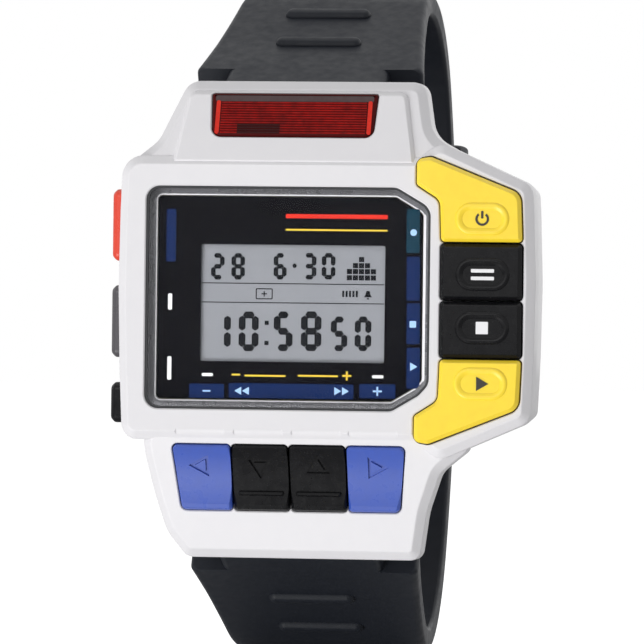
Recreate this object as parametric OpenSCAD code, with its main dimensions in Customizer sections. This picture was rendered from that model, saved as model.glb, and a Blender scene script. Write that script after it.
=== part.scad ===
// Wrist watch with remote control keys on a curved rubber strap.
// It stands upright: its face looks along -Y, 12 o'clock is +Z and 3 o'clock is +X.
// The origin is the centre of the case back's outer face, so the wrist is on the +Y side.

/* [Case] */
// Distance from the case back to the front of the bezel
case_t = 12; // [11.6:0.1:12.6]
// Width of the slanted edge round every front face of the case
chamfer = 0.85; // [0.5:0.05:0.9]
// Height of the case from lug end to lug end
case_h = 47.5; // [46.5:0.1:48.5]
// Distance from the middle to the left side of the bezel
case_left = 18.35; // [18.2:0.05:18.8]
// Distance from the middle to the right side of the key wing
case_right = 24.05; // [23.9:0.05:24.4]
// How far the case back stands out of the case
back_proud = 0.8; // [0.5:0.1:1]
// Lean of the face under the bezel, which holds the front keys
lower_lean = 20; // [16:1:22]
// Lean of the face above the bezel, which holds the infrared window
upper_lean = 22; // [18:1:24]
// Depth of the step from the bezel to the face under it
lower_step = 0.7; // [0.5:0.1:0.9]
// Depth of the step from the bezel to the shelf above it
upper_step = 0.9; // [0.7:0.1:1.1]
// Height of the raised infrared plateau over its shelf
plateau_h = 0.5; // [0.3:0.1:0.6]

/* [Display] */
// Middle of the display, the plateau and the front keys, from the middle of the back
face_x = -1.2; // [-1.4:0.1:-1]
// Height of the middle of the crystal
crystal_z = 2.15; // [2:0.05:2.3]
// Width of the crystal recess
crystal_w = 28.5; // [28:0.1:28.6]
// Height of the crystal recess
crystal_h = 22.1; // [21.8:0.1:22.3]
// Depth of the crystal face under the bezel
crystal_sunk = 0.15; // [0.1:0.05:0.3]
// Thickness of the crystal
crystal_t = 1.6; // [1.4:0.1:1.7]
// Width of the black gasket line round the crystal
gasket_w = 0.25; // [0.2:0.01:0.3]
// Width of the ledge that the crystal lies on
ledge_w = 0.9; // [0.7:0.05:1]
// Width of the display window in the black panel
window_w = 18.5; // [17.5:0.1:19]
// Height of the display window in the black panel
window_h = 11.6; // [11:0.1:12]
// Height of the middle of the display window
window_z = 1.65; // [1.4:0.05:1.9]
// Thickness of the black panel
panel_t = 0.4; // [0.3:0.05:0.5]
// How far the display glass reaches behind the panel
glass_lap = 1.1; // [0.8:0.1:1.3]
// Thickness of the display glass
glass_t = 1.5; // [1.3:0.1:1.6]

/* [Keys] */
// Travel of each key
key_travel = 0.5; // [0.3:0.05:0.55]
// Gap between a key and its opening
key_gap = 0.15; // [0.1:0.01:0.18]
// How far the right keys stand out of the bezel
right_proud = 0.5; // [0.3:0.1:0.7]
// How far the front keys stand out of the lower face
front_proud = 0.35; // [0.2:0.05:0.5]
// Height of each black key in the right row
black_h = 5.5; // [5.3:0.1:5.6]
// Left side of the right key row
right_key_x = 14; // [13.9:0.05:14.1]
// Width of the right key row
right_key_w = 8.05; // [7.9:0.05:8.1]
// Height of the middle of the right key row
right_key_z = 2.1; // [2:0.05:2.2]
// Width of each black front key
front_key_w = 5.55; // [5.4:0.05:5.6]
// Length of the front keys down the lower face
front_key_h = 6.9; // [6.7:0.1:7]
// Thickness of the case wall that the keys pass through
key_wall = 1.8; // [1.6:0.1:1.9]
// Thickness of each key's inner flange
flange_t = 0.8; // [0.6:0.1:0.8]
// Height of the raised oval on each right key
oval_h = 0.2; // [0.1:0.05:0.3]

/* [Pushers] */
// Distance from the case back to the pushers' middle
pusher_y = 6; // [5.8:0.05:6.1]
// How far each pusher stands out of the left side
pusher_proud = 1; // [0.8:0.1:1.2]
// Thickness of each pusher from front to back
pusher_t = 3.4; // [3:0.1:3.6]
// Travel of each pusher
pusher_travel = 0.5; // [0.3:0.05:0.6]
// Radius of each pusher's stem
stem_r = 0.7; // [0.6:0.01:0.75]

/* [Infrared] */
// Width of the infrared window
ir_w = 16.8; // [16:0.1:17.2]
// Height of the infrared window along the sloping plateau
ir_h = 4.65; // [4.4:0.05:4.8]
// Thickness of the infrared window
ir_t = 1.2; // [1:0.1:1.3]
// Radius of each infrared lamp
lamp_r = 1.4; // [1.2:0.1:1.5]

/* [Strap] */
// Middle of the strap, from the middle of the back
strap_x = -1.1; // [-1.2:0.1:-0.9]
// Width of the strap at the case
strap_w = 23.5; // [23:0.1:23.6]
// Width of the strap at the back of the wrist
strap_end_w = 18.6; // [18:0.1:19]
// Width of the strap's tongue between the lugs
tongue_w = 16.4; // [15.8:0.1:16.6]
// Thickness of the strap at the case
strap_root_t = 3.4; // [3:0.1:3.5]
// Thickness of the strap round the wrist
strap_t = 2.6; // [2.2:0.1:2.8]
// Length of the straight stretch behind each lug
strap_straight = 21; // [20:0.5:22]
// Angle at which the strap leaves the case
strap_flare = 27; // [24:1:28]
// Radius of the bend over and under the wrist
bend_r = 16; // [15:0.5:17]
// Turn of the bend over and under the wrist
bend_turn = 88; // [86:1:90]
// Height at which the upper half meets its buckle
buckle_z = 9; // [8.5:0.1:9.5]
// Height at which the lower half ends
tail_z = -4.5; // [-5:0.1:-4]
// Radius of the spring bars
bar_r = 0.75; // [0.65:0.01:0.8]
// Distance from the case back to the spring bars
bar_y = 3.4; // [3.3:0.05:3.5]
// Distance from the case's end to the spring bar
bar_inset = 2.15; // [2.1:0.05:2.3]
// Height of the strap's ribs
rib_h = 0.7; // [0.5:0.1:0.8]
// Distance from rib to rib
rib_pitch = 6.9; // [6.6:0.1:7.4]
// Length of each rib
rib_l = 8.8; // [8:0.1:9.4]
// Number of ribs on each half
rib_count = 3; // [2:1:3]

/* [Buckle] */
// Length of the buckle frame from its pin
buckle_l = 9; // [8.6:0.1:9.2]
// Thickness of the buckle's bars
buckle_t = 1.6; // [1.4:0.1:1.7]
// Radius of the buckle's pin
pin_r = 0.6; // [0.5:0.01:0.65]
// Width of the buckle's tongue
prong_w = 2; // [1.8:0.1:2.2]
// Space inside the keeper over the strap, for the tail to pass
tail_space = 3.1; // [2.9:0.1:3.3]

/* [Hidden] */
$fn = 48;

// A small and a large overreach that make each cut pass clean through
over = 0.1;
reach = 30;
// Free play of pins and stems in their bores
play = 0.05;
// Small gap between pieces that seat on or in each other
seat = 0.02;
// Slanted edge of each right key and of the crystal
key_edge = 0.3;
crystal_edge = 0.3;
// Thickness of the space behind the ledge that the panel's rim lies in
rim_room = 0.65;
// Half of the case's height, and the height of the step under and over the bezel
half_h = case_h / 2;
bezel_low = -12;
bezel_high = 16.2;
// Depths from front to back, along Y
bezel_y = -case_t;
wall_y = -back_proud;
crystal_y = bezel_y + crystal_sunk;
ledge_y = crystal_y + crystal_t;
glass_y = ledge_y + panel_t;
hall_y = ledge_y + rim_room;
reflector_y = glass_y + glass_t;
reflector_t = 0.3;
board_y = -7;
board_t = 0.8;
key_hall_y = bezel_y + key_wall;
// Hollow of the case behind the crystal's ledge, which holds the display's holder
hall_x = face_x;
hall_z = crystal_z - 0.25;
hall_w = crystal_w - 0.9;
hall_h = crystal_h + 0.9;
hall_corner = 0.3;
hall_left = hall_x - hall_w / 2;
hall_floor_y = -5;
// Hollow of the key wing
wing_x = right_key_x + 3.3;
wing_w = right_key_w + 2.55;
wing_h = 4 * black_h - 1;
wing_floor_y = -3.2;
// Steel case back, the rim that it lies on, its screws and the bosses that hold them
back_w = 31;
back_h = 24.8;
back_t = 1;
back_rim = 1.2;
back_corner = 2.5;
back_hall_w = back_w - 2 * back_rim;
back_hall_h = back_h - 2 * back_rim;
screw_x = back_w / 2 - 2;
screw_z = back_h / 2 - 2;
screw_r = 0.6;
head_r = 1.2;
boss_r = 1.9;
head_t = 0.6;
screw_l = 3.8;
screw_room = 0.2;
// Heights of the three pushers' middles and their lengths: red, grey, black
pusher_z = [9.3, -0.3, -8.4];
pusher_l = [7.15, 7.2, 4.05];
// Strap numbers that follow from the case
bar_z = half_h - bar_inset;
barrel_r = strap_root_t / 2;
lug_gap = tongue_w / 2 + 0.1;
tunnel_y = -bar_y;
bend_start = [tunnel_y + strap_straight * cos(strap_flare), bar_z + strap_straight * sin(strap_flare)];
bend_centre = bend_start + bend_r * [sin(strap_flare), -cos(strap_flare)];
far_turn = strap_flare - bend_turn;
bend_end = bend_centre + bend_r * [-sin(far_turn), cos(far_turn)];
far_r = bend_end.y / cos(far_turn);
far_centre = bend_end + far_r * [sin(far_turn), -cos(far_turn)];
rib_w = 1.2;
rib_first = 11.7;

// Unit vector from p to q
function heading(p, q) = (q - p) / norm(q - p);
function cross2(a, b) = a.x * b.y - a.y * b.x;
// Arc steps that round one corner, given as [x, z, radius], between its neighbours
function corner(a, c, b) =
    let (p = [c.x, c.y], u = heading(p, [a.x, a.y]), v = heading(p, [b.x, b.y]),
         half = acos(u * v) / 2, turn = 180 - 2 * half, n = max(2, ceil(turn / 9)),
         way = cross2(-u, v) > 0 ? 1 : -1,
         mid = p + (u + v) / norm(u + v) * c.z / sin(half), from = p + u * c.z / tan(half) - mid)
    [for (k = [0 : n]) let (t = way * turn * k / n)
        mid + [from.x * cos(t) - from.y * sin(t), from.x * sin(t) + from.y * cos(t)]];
// Outline through the given corners, each rounded by its own radius
function rounded(c) = let (n = len(c)) [
    for (i = [0 : n - 1])
        each c[i].z == 0 ? [[c[i].x, c[i].y]] : corner(c[(i + n - 1) % n], c[i], c[(i + 1) % n])];
// Anticlockwise outline moved inwards by d
function inset(pts, d) = let (n = len(pts)) [
    for (i = [0 : n - 1])
        let (a = heading(pts[(i + n - 1) % n], pts[i]), b = heading(pts[i], pts[(i + 1) % n]))
        pts[i] + ([-a.y, a.x] + [-b.y, b.x]) * d / (1 + a * b)];
// Whether the corner at place i of the outline can be cut off as a triangle
function is_ear(pts, order, i) =
    let (n = len(order), a = pts[order[(i + n - 1) % n]], b = pts[order[i]], c = pts[order[(i + 1) % n]])
    cross2(b - a, c - a) > 0 && len([
        for (k = [2 : n - 2]) let (p = pts[order[(i + k) % n]])
            if (cross2(b - a, p - a) >= 0 && cross2(c - b, p - b) >= 0 && cross2(a - c, p - c) >= 0) 1]) == 0;
// Triangles that fill an anticlockwise outline, cut off one corner at a time
function ears(pts, order, i = 0, done = []) =
    let (n = len(order), j = i % n)
    n == 3 ? concat(done, [order])
    : !is_ear(pts, order, j) ? ears(pts, order, j + 1, done)
    : ears(pts, [for (k = [0 : n - 1]) if (k != j) order[k]], j,
        concat(done, [[order[(j + n - 1) % n], order[j], order[(j + 1) % n]]]));
// Rounded rectangle given by its middle, size and radius
function box_outline(x, z, w, h, r) = rounded([
    [x - w / 2, z - h / 2, r], [x + w / 2, z - h / 2, r],
    [x + w / 2, z + h / 2, r], [x - w / 2, z + h / 2, r]]);

// Block over an outline with a slanted edge round its front
module block(outline, front_y, edge, back_y) {
    n = len(outline);
    front = inset(outline, edge);
    points = concat(
        [for (p = outline) [p.x, back_y, p.y]],
        [for (p = outline) [p.x, front_y + edge, p.y]],
        [for (p = front) [p.x, front_y, p.y]]);
    order = [for (i = [0 : n - 1]) i];
    faces = concat(
        ears(outline, order),
        [for (r = [0 : 1], i = [0 : n - 1]) let (a = r * n, j = (i + 1) % n)
            each [[a + j, a + i, a + n + i], [a + j, a + n + i, a + n + j]]],
        [for (t = ears(front, order)) [2 * n + t[2], 2 * n + t[1], 2 * n + t[0]]]);
    polyhedron(points, faces);
}

// Extrudes a front view outline from back_y forwards to front_y
module forward(back_y, front_y) {
    translate([0, back_y, 0]) rotate([90, 0, 0]) linear_extrude(back_y - front_y) children();
}

// Extrudes a side view outline, drawn as [y, z], across the watch
module across(width) {
    rotate([90, 0, 90]) linear_extrude(width, center = true) children();
}

// Rod from front to back at x and z
module rod(x, z, r, back_y, front_y) {
    translate([x, back_y, z]) rotate([90, 0, 0]) cylinder(r = r, h = back_y - front_y);
}

// Rod across the watch at y and z
module cross_rod(y, z, r, x0, x1) {
    translate([x0, y, z]) rotate([0, 90, 0]) cylinder(r = r, h = x1 - x0);
}

// Places children on the sloping face under the bezel: x across, y up the slope, z outwards
lower_y = bezel_y + lower_step;
module on_lower_face() {
    translate([0, lower_y, bezel_low]) rotate([90 + lower_lean, 0, 0]) children();
}

// Places children on the raised plateau over the bezel in the same way
shelf_y = bezel_y + upper_step;
plateau_y = shelf_y - plateau_h;
module on_plateau() {
    translate([0, plateau_y, bezel_high]) rotate([90 - upper_lean, 0, 0]) children();
}

// Slab in one of these sloping frames from depth z0 to z1
module slab(outline, z0, z1) {
    translate([0, 0, z0]) linear_extrude(z1 - z0) polygon(outline);
}

bezel_outline = rounded([
    [0.6 - case_left, bezel_low, 1.6], [11.6, bezel_low, 0.5], [13.9, -13.7, 1.6],
    [case_right - 0.6, -9.75, 1.6], [case_right, 4, 150], [case_right - 0.6, 13.5, 1.6], [13.7, 17.7, 1.5],
    [11.6, bezel_high, 0.5], [0.4 - case_left, bezel_high, 2.2], [-case_left, 3, 200]]);
top_outline = rounded([
    [-16.9, 13.9, 1.1], [15.6, 14.2, 1.1], [16, 16.7, 1.1], [13, 18.3, 3], [12.1, half_h, 1.6],
    [-11.75, half_h, 1.6], [-14.5, 17.7, 2.6], [-17.3, 15.42, 1.1]]);
bottom_outline = rounded([
    [-15.6, -10.9, 1.5], [-15.35, -13.6, 6], [-14.3, -17.7, 30], [-13.2, -21, 6], [-11.6, -half_h, 1.6],
    [12, -half_h, 1.6], [12.9, -18.9, 8], [14.3, -14.9, 2.5], [16.8, -12.55, 1.1], [16.4, -10.4, 1.1]]);
plateau_outline = rounded([
    [face_x - 11.95, 15.4, 0], [face_x + 12.45, 15.4, 0],
    [face_x + 11.9, 22.6, 0.9], [face_x - 10.6, 22.6, 0.9]]);
// The crystal lies a little left of the face's middle, and the display window a little right of it
crystal_left = face_x - 0.15 - crystal_w / 2;
display_x = face_x + 0.15;
crystal_right = crystal_left + crystal_w;
crystal_top = crystal_z + crystal_h / 2;
crystal_bottom = crystal_z - crystal_h / 2;
crystal_corner = 1.4;
recess_outline = rounded([
    [crystal_left, crystal_bottom, crystal_corner], [crystal_right - 3.7, crystal_bottom, crystal_corner],
    [crystal_right - 1, crystal_bottom + 1.6, crystal_corner],
    [crystal_right, crystal_bottom + 2.7, crystal_corner],
    [crystal_right, crystal_top - 2.4, crystal_corner],
    [crystal_right - 0.5, crystal_top - 1.7, crystal_corner],
    [crystal_right - 3.4, crystal_top, crystal_corner], [crystal_left, crystal_top, crystal_corner]]);

// Outlines of the right keys; the yellow pair mirror each other about the row's middle
key_right = right_key_x + right_key_w;
black_gap = 0.2;
key_corner = 0.4;
yellow_outline = [
    [right_key_x, black_h + 1.5 * black_gap, key_corner],
    [key_right, black_h + 1.5 * black_gap, key_corner],
    [key_right - 0.2, 10.8, 1.4], [12.9, 14.6, 0.6], [11.5, 14.4, 0.7], [11.5, 11.4, 0.5],
    [13.85, 9.9, 1.2]];
function mirrored(c) = [for (i = [len(c) - 1 : -1 : 0]) [c[i].x, -c[i].y, c[i].z]];
function raised(pts, z) = [for (p = pts) [p.x, p.y + z]];
upper_yellow = raised(rounded(yellow_outline), right_key_z);
lower_yellow = raised(rounded(mirrored(yellow_outline)), right_key_z);
function black_outline(side) = box_outline(right_key_x + right_key_w / 2,
    right_key_z + side * (black_h + black_gap) / 2, right_key_w, black_h, key_corner);

// Outlines of the front keys in the frame of the lower face
front_top = -0.5;
front_low = front_top - front_key_h;
front_mid = (front_top + front_low) / 2;
blue_in = front_key_w + 1.5 * black_gap;
function front_black(side) = box_outline(face_x + side * (front_key_w + black_gap) / 2,
    front_mid, front_key_w, front_key_h, key_corner);
function front_blue(side) = let (pts = rounded([
    [blue_in, front_low, key_corner], [blue_in + 5.1, front_low, 0.6], [blue_in + 5.8, front_top, 0.5],
    [blue_in, front_top, key_corner]]))
    side > 0 ? [for (p = pts) [face_x + p.x, p.y]]
             : [for (i = [len(pts) - 1 : -1 : 0]) [face_x - pts[i].x, pts[i].y]];
// Infrared window on the plateau, the hollow behind it and the small board behind the front keys
ir_low = 2.1;
ir_mid = ir_low + ir_h / 2;
ir_corner = 0.9;
ir_hall_w = 14;
ir_hall_h = 3.6;
ir_hall_z = -3.4;
small_hall_corner = 0.5;
window_outline = box_outline(face_x, ir_mid, ir_w, ir_h, ir_corner);
front_hall_w = 24;
front_hall_h = 8.3;
front_board_z = -4.1;
front_board_t = 0.5;

// Places a piece for the upper end of the case, or mirrored for the lower end
module at_end(side) {
    if (side > 0) children(); else mirror([0, 0, 1]) children();
}

// Piece of the case over an outline, whose front lies at front_y where z is at_z and moves back
// by rise for each millimetre of height
module sloped(outline, front_y, at_z, rise) {
    intersection() {
        forward(wall_y, bezel_y - 2) polygon(outline);
        across(100) polygon([[0, at_z - reach], [front_y - rise * reach, at_z - reach],
            [front_y + rise * reach, at_z + reach], [0, at_z + reach]]);
    }
}

// The case, with its outer front corners cut back by a slanted plane on the left and the right
module case_shell() {
    difference() {
        union() {
            forward(wall_y, bezel_y) polygon(bezel_outline);
            sloped(top_outline, shelf_y, bezel_high, tan(upper_lean));
            sloped(plateau_outline, plateau_y, bezel_high, tan(upper_lean));
            sloped(bottom_outline, lower_y, bezel_low, -tan(lower_lean));
        }
        for (side = [[case_left, -1], [case_right, 1]])
            translate([side[1] * (side[0] - chamfer / 2), bezel_y + chamfer / 2, 0])
                rotate([0, 0, side[1] > 0 ? -45 : 45])
                    translate([side[1] > 0 ? 0 : -reach, -reach, -reach]) cube([reach, 2 * reach, 2 * reach]);
    }
}

back_outline = box_outline(0, 0, back_w, back_h, back_corner);
module screw_places() {
    for (x = [-screw_x, screw_x], z = [-screw_z, screw_z]) translate([x, 0, z]) children();
}

module back_hall_outline() {
    difference() {
        square([back_hall_w, back_hall_h], center = true);
        for (x = [-screw_x, screw_x], z = [-screw_z, screw_z]) translate([x, z]) circle(boss_r);
    }
}

module case_middle() {
    color("whitesmoke") difference() {
        case_shell();
        forward(ledge_y, bezel_y - 1) polygon(recess_outline);
        forward(hall_y + over, ledge_y - over) polygon(inset(recess_outline, ledge_w));
        forward(hall_floor_y, hall_y) polygon(box_outline(hall_x, hall_z, hall_w, hall_h, hall_corner));
        forward(0, hall_floor_y - over) back_hall_outline();
        forward(0, -back_t - seat) polygon(inset(back_outline, -play));
        forward(wing_floor_y, key_hall_y)
            polygon(box_outline(wing_x, right_key_z, wing_w, wing_h, hall_corner));
        for (outline = [upper_yellow, lower_yellow, black_outline(1), black_outline(-1)])
            forward(key_hall_y + over, bezel_y - 1) polygon(inset(outline, -key_gap));
        on_lower_face() {
            for (outline = [front_black(1), front_black(-1), front_blue(1), front_blue(-1)])
                slab(inset(outline, -key_gap), -key_wall - over, 1);
            slab(box_outline(face_x, front_mid, front_hall_w, front_hall_h, small_hall_corner),
                front_board_z - front_board_t, -key_wall);
        }
        on_plateau() {
            slab(window_outline, -ir_t, 2);
            slab(box_outline(face_x, ir_mid, ir_hall_w, ir_hall_h, small_hall_corner),
                ir_hall_z, -ir_t + over);
        }
        for (i = [0 : 2]) pusher_pocket(pusher_z[i], pusher_l[i]);
        for (side = [1, -1]) at_end(side) lug_recess();
        screw_places() rotate([90, 0, 0]) cylinder(r = screw_r, h = screw_l + screw_room);
    }
}

// Slot behind the case's end for the strap's tongue, with the spring bar's holes in the lugs
tip_r = 0.4;
tip_l = 1.1;
slot_gap = [0.2, 0.3];
slot_reach = 8;
module lug_recess() {
    translate([strap_x - lug_gap, tunnel_y - barrel_r - slot_gap.x, bar_z - barrel_r - slot_gap.y])
        cube([2 * lug_gap, slot_reach, slot_reach]);
    cross_rod(tunnel_y, bar_z, tip_r + play,
        strap_x - lug_gap - tip_l - over, strap_x + lug_gap + tip_l + over);
}

// Pocket of a pusher, the bore of its stem and the counterbore of its spring and seal
pocket_depth = 1.6;
stem_reach = 1.1;
seal_x = -16.2;
seal_t = 0.5;
counterbore_r = stem_r + 0.8;
module pusher_pocket(z, l) {
    translate([-case_left - 2, -pusher_y - pusher_t / 2 - key_gap, z - l / 2 - key_gap])
        cube([2 + pocket_depth, pusher_t + 2 * key_gap, l + 2 * key_gap]);
    cross_rod(-pusher_y, z, stem_r + play, -case_left, hall_left + stem_reach - over);
    cross_rod(-pusher_y, z, counterbore_r, -case_left, seal_x + seal_t);
}

module case_back() {
    color("silver") difference() {
        forward(0, -back_t) polygon(back_outline);
        screw_places() {
            rotate([90, 0, 0]) cylinder(r = screw_r + play, h = 3, center = true);
            rotate([90, 0, 0]) cylinder(r = head_r + play, h = 2 * head_t, center = true);
        }
    }
}

// Cross in the screws' heads
cross_l = 2;
cross_w = 0.3;
cross_t = 0.5;
module case_back_screws() {
    color("gainsboro") screw_places() difference() {
        union() {
            rotate([90, 0, 0]) cylinder(r = head_r, h = head_t);
            rotate([90, 0, 0]) cylinder(r = screw_r, h = screw_l);
        }
        cube([cross_l, cross_t, cross_w], center = true);
        cube([cross_w, cross_t, cross_l], center = true);
    }
}

back_seal_w = 0.8;
back_seal_t = 0.5;
module case_back_gasket() {
    color("black") forward(-back_t - seat, -back_t - seat - back_seal_t) difference() {
        back_hall_outline();
        square([back_hall_w - 2 * back_seal_w, back_hall_h - 2 * back_seal_w], center = true);
        for (x = [-screw_x, screw_x], z = [-screw_z, screw_z]) translate([x, z]) circle(boss_r + back_seal_w);
    }
}

crystal_outline = inset(recess_outline, gasket_w + seat);
module crystal() {
    color("lightgrey", 0.4) block(crystal_outline, crystal_y, crystal_edge, ledge_y);
}

gasket_sunk = 0.1;
module crystal_gasket() {
    color("black") forward(ledge_y, crystal_y + gasket_sunk) difference() {
        polygon(inset(recess_outline, seat / 2));
        polygon(inset(recess_outline, gasket_w));
    }
}

// Clearance of the panel and the glass in what holds them, and the rounding of their corners
panel_gap = 0.1;
window_corner = 0.2;
glass_corner = 0.3;
module display_panel() {
    color("black") forward(glass_y, ledge_y) difference() {
        polygon(inset(recess_outline, ledge_w + panel_gap));
        polygon(box_outline(display_x, window_z, window_w, window_h, window_corner));
    }
}

glass_w = window_w + 2 * glass_lap;
glass_h = window_h + 2 * glass_lap;
module lcd_glass() {
    color("lightslategrey") forward(reflector_y, glass_y)
        polygon(box_outline(display_x, window_z, glass_w, glass_h, glass_corner));
}

// Rubber contact strips along the glass's upper and lower edges, and the reflector between them
zebra_h = 1;
zebra_inset = 0.7;
zebra_short = 0.8;
reflector_short = 0.2;
reflector_gap = 0.4;
module lcd_reflector() {
    reflector_h = glass_h - 2 * (zebra_inset + zebra_h / 2 + reflector_gap);
    color("silver") forward(reflector_y + reflector_t, reflector_y)
        polygon(box_outline(display_x, window_z, glass_w - 2 * reflector_short, reflector_h, glass_corner));
}

module zebra_strips() {
    color("dimgrey") for (side = [-1, 1]) forward(board_y, reflector_y)
        polygon(box_outline(display_x, window_z + side * (glass_h / 2 - zebra_inset),
            glass_w - 2 * zebra_short, zebra_h, window_corner));
}

holder_gap = 0.2;
module lcd_holder() {
    holder_w = hall_w - 2 * holder_gap;
    holder_h = hall_h - 2 * holder_gap;
    color("ivory") forward(board_y, hall_y + play) difference() {
        polygon(box_outline(hall_x, hall_z, holder_w, holder_h, hall_corner));
        polygon(inset(box_outline(display_x, window_z, glass_w, glass_h, glass_corner), -panel_gap));
    }
}

// Main board behind the display, with a bridge to its part under the right keys
board_x = hall_x + 0.9;
board_w = hall_w - 3.2;
board_h = hall_h - 1.6;
key_board_w = wing_w - 0.6;
key_board_h = wing_h - 1;
board_corner = 0.5;
bridge = [9, -7];
bridge_size = [8, 18];
module circuit_board() {
    color("darkgreen") forward(board_y + board_t, board_y) union() {
        polygon(box_outline(board_x, hall_z, board_w, board_h, board_corner));
        polygon(box_outline(wing_x, right_key_z, key_board_w, key_board_h, 2 * board_corner));
        translate(bridge) square(bridge_size);
    }
}

chip_x = wing_x + 0.9;
chip_w = 7;
chip_t = 1.2;
chip_corner = 0.3;
module processor_chip() {
    color("black") forward(board_y + board_t + chip_t, board_y + board_t)
        polygon(box_outline(chip_x, right_key_z, chip_w, chip_w, chip_corner));
}

can_r = 0.9;
can_l = 6;
can_at = [10.9, -7];
module quartz_can() {
    color("silver") translate([can_at.x, board_y + board_t + can_r, can_at.y]) cylinder(r = can_r, h = can_l);
}

// Coin cell: wide can with a narrower front face, in a round holder on the board
battery_x = -1.5;
battery_r = back_hall_h / 2 - 1.2;
cell_face_r = battery_r - 1.5;
battery_y = -4.6;
battery_t = 2.5;
cell_step = 0.4;
module battery() {
    color("silver") {
        rod(battery_x, 0, battery_r, battery_y + battery_t, battery_y + cell_step);
        rod(battery_x, 0, cell_face_r, battery_y + cell_step, battery_y);
    }
}

cell_gap = 0.2;
holder_wall = 0.4;
clip_room = 0.1;
foot_r = battery_r - 1;
module battery_holder() {
    color("ivory") difference() {
        union() {
            rod(battery_x, 0, battery_r + cell_gap + holder_wall,
                battery_y + battery_t - clip_room, hall_floor_y);
            rod(battery_x, 0, foot_r, hall_floor_y, board_y + board_t);
        }
        rod(battery_x, 0, battery_r + cell_gap, 0, battery_y);
    }
}

clip_w = 5;
clip_t = 0.25;
clip_gap = 0.5;
module battery_clip() {
    color("gainsboro") forward(battery_y + battery_t + clip_t, battery_y + battery_t)
        translate([battery_x, 0]) square([clip_w, back_hall_h - 2 * clip_gap], center = true);
}

buzzer_r = 6;
buzzer_t = 0.4;
buzzer_x = back_hall_w / 2 - buzzer_r - 0.8;
contact_x = buzzer_x + 3.9;
contact_z = 2.4;
contact_r = 1;
contact_bore = 0.7;
module buzzer_disc() {
    color("goldenrod") rod(buzzer_x, 0, buzzer_r, -back_t, -back_t - buzzer_t);
}

module buzzer_spring() {
    color("gainsboro") difference() {
        rod(contact_x, contact_z, contact_r, -back_t - buzzer_t, board_y + board_t);
        rod(contact_x, contact_z, contact_bore, 0, board_y);
    }
}

ir_fit = 0.03;
ir_proud = 0.1;
module infrared_window() {
    color("darkred") on_plateau() slab(inset(window_outline, ir_fit), -ir_t, ir_proud);
}

lamp_x = 3.6;
lamp_base_t = 1.2;
lens_r = lamp_r - 0.2;
lens_t = 0.7;
module infrared_lamps() {
    color("lightslategrey") on_plateau() for (side = [-1, 1])
        translate([face_x + side * lamp_x, ir_mid, ir_hall_z]) {
            cylinder(r = lamp_r, h = lamp_base_t);
            translate([0, 0, lamp_base_t]) cylinder(r = lens_r, h = lens_t);
        }
}

// Rubber mats with one dome under each key
dome_r = 1.6;
dome_x = 18;
mat_t = 0.6;
mat_x = 17.9;
mat_size = [8.4, 19.4];
mat_corner = 1;
module right_key_mat() {
    color("lightgrey") {
        forward(board_y, board_y - mat_t)
            polygon(box_outline(mat_x, right_key_z, mat_size.x, mat_size.y, mat_corner));
        for (i = [-1.5 : 1.5]) rod(dome_x, right_key_z + i * (black_h + black_gap), dome_r,
            board_y - mat_t, key_hall_y + flange_t + key_travel + play);
    }
}

dome_h = 0.45;
front_mat_z = -key_wall - flange_t - key_travel - play - dome_h;
front_mat_size = [22.6, 6.6];
front_board_size = [23.2, 7.4];
module front_key_mat() {
    color("lightgrey") on_lower_face() {
        slab(box_outline(face_x, front_mid, front_mat_size.x, front_mat_size.y, key_corner),
            front_board_z, front_mat_z);
        for (i = [-1.5 : 1.5]) translate([front_x(i), front_mid, front_mat_z])
            cylinder(r = dome_r, h = dome_h);
    }
}

module front_key_board() {
    color("darkgreen") on_lower_face()
        slab(box_outline(face_x, front_mid, front_board_size.x, front_board_size.y, key_corner),
            front_board_z - front_board_t, front_board_z);
}

// One right key: cap with a slanted edge and raised oval, a neck behind it and an inner flange
key_cap_y = key_hall_y - key_travel - play;
flange_h = black_h - 1.1;
flange_left = 0.5;
flange_right = 0.4;
neck_left = 0.3;
neck_right = 0.8;
oval_x = right_key_x + 4.3;
oval_size = [4.8, 2.9];
oval_corner = 1.44;
module right_key(outline, z) {
    block(outline, bezel_y - right_proud, key_edge, key_cap_y);
    translate([right_key_x + neck_left, key_cap_y - over, z - flange_h / 2])
        cube([right_key_w - neck_left - neck_right, key_hall_y - key_cap_y + 2 * over, flange_h]);
    translate([right_key_x - flange_left, key_hall_y, z - flange_h / 2])
        cube([right_key_w + flange_left + flange_right, flange_t, flange_h]);
    forward(bezel_y - right_proud + over, bezel_y - right_proud - oval_h)
        polygon(box_outline(oval_x, z, oval_size.x, oval_size.y, oval_corner));
}

black_key_z = (black_h + black_gap) / 2;
yellow_key_z = 3 * black_key_z - 0.3;
module upper_yellow_key() { color("gold") right_key(upper_yellow, right_key_z + yellow_key_z); }
module upper_black_key() { color("black") right_key(black_outline(1), right_key_z + black_key_z); }
module lower_black_key() { color("black") right_key(black_outline(-1), right_key_z - black_key_z); }
module lower_yellow_key() { color("gold") right_key(lower_yellow, right_key_z - yellow_key_z); }

// One front key: cap with a shallow dish cut into it and an inner flange
dish_r = 9;
dish_from_top = 2.3;
dish_depth = 0.35;
dish_w = 9;
flange_side = 0.1;
flange_end = 0.4;
module front_key(outline, x) {
    on_lower_face() difference() {
        union() {
            slab(outline, -key_wall, front_proud);
            translate([x - front_key_w / 2 + flange_side, front_low - flange_end, -key_wall - flange_t])
                cube([front_key_w - 2 * flange_side, front_key_h + 2 * flange_end, flange_t]);
        }
        translate([x, front_top - dish_from_top, front_proud + dish_r - dish_depth]) rotate([0, 90, 0])
            cylinder(r = dish_r, h = dish_w, center = true, $fn = 96);
    }
}

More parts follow.
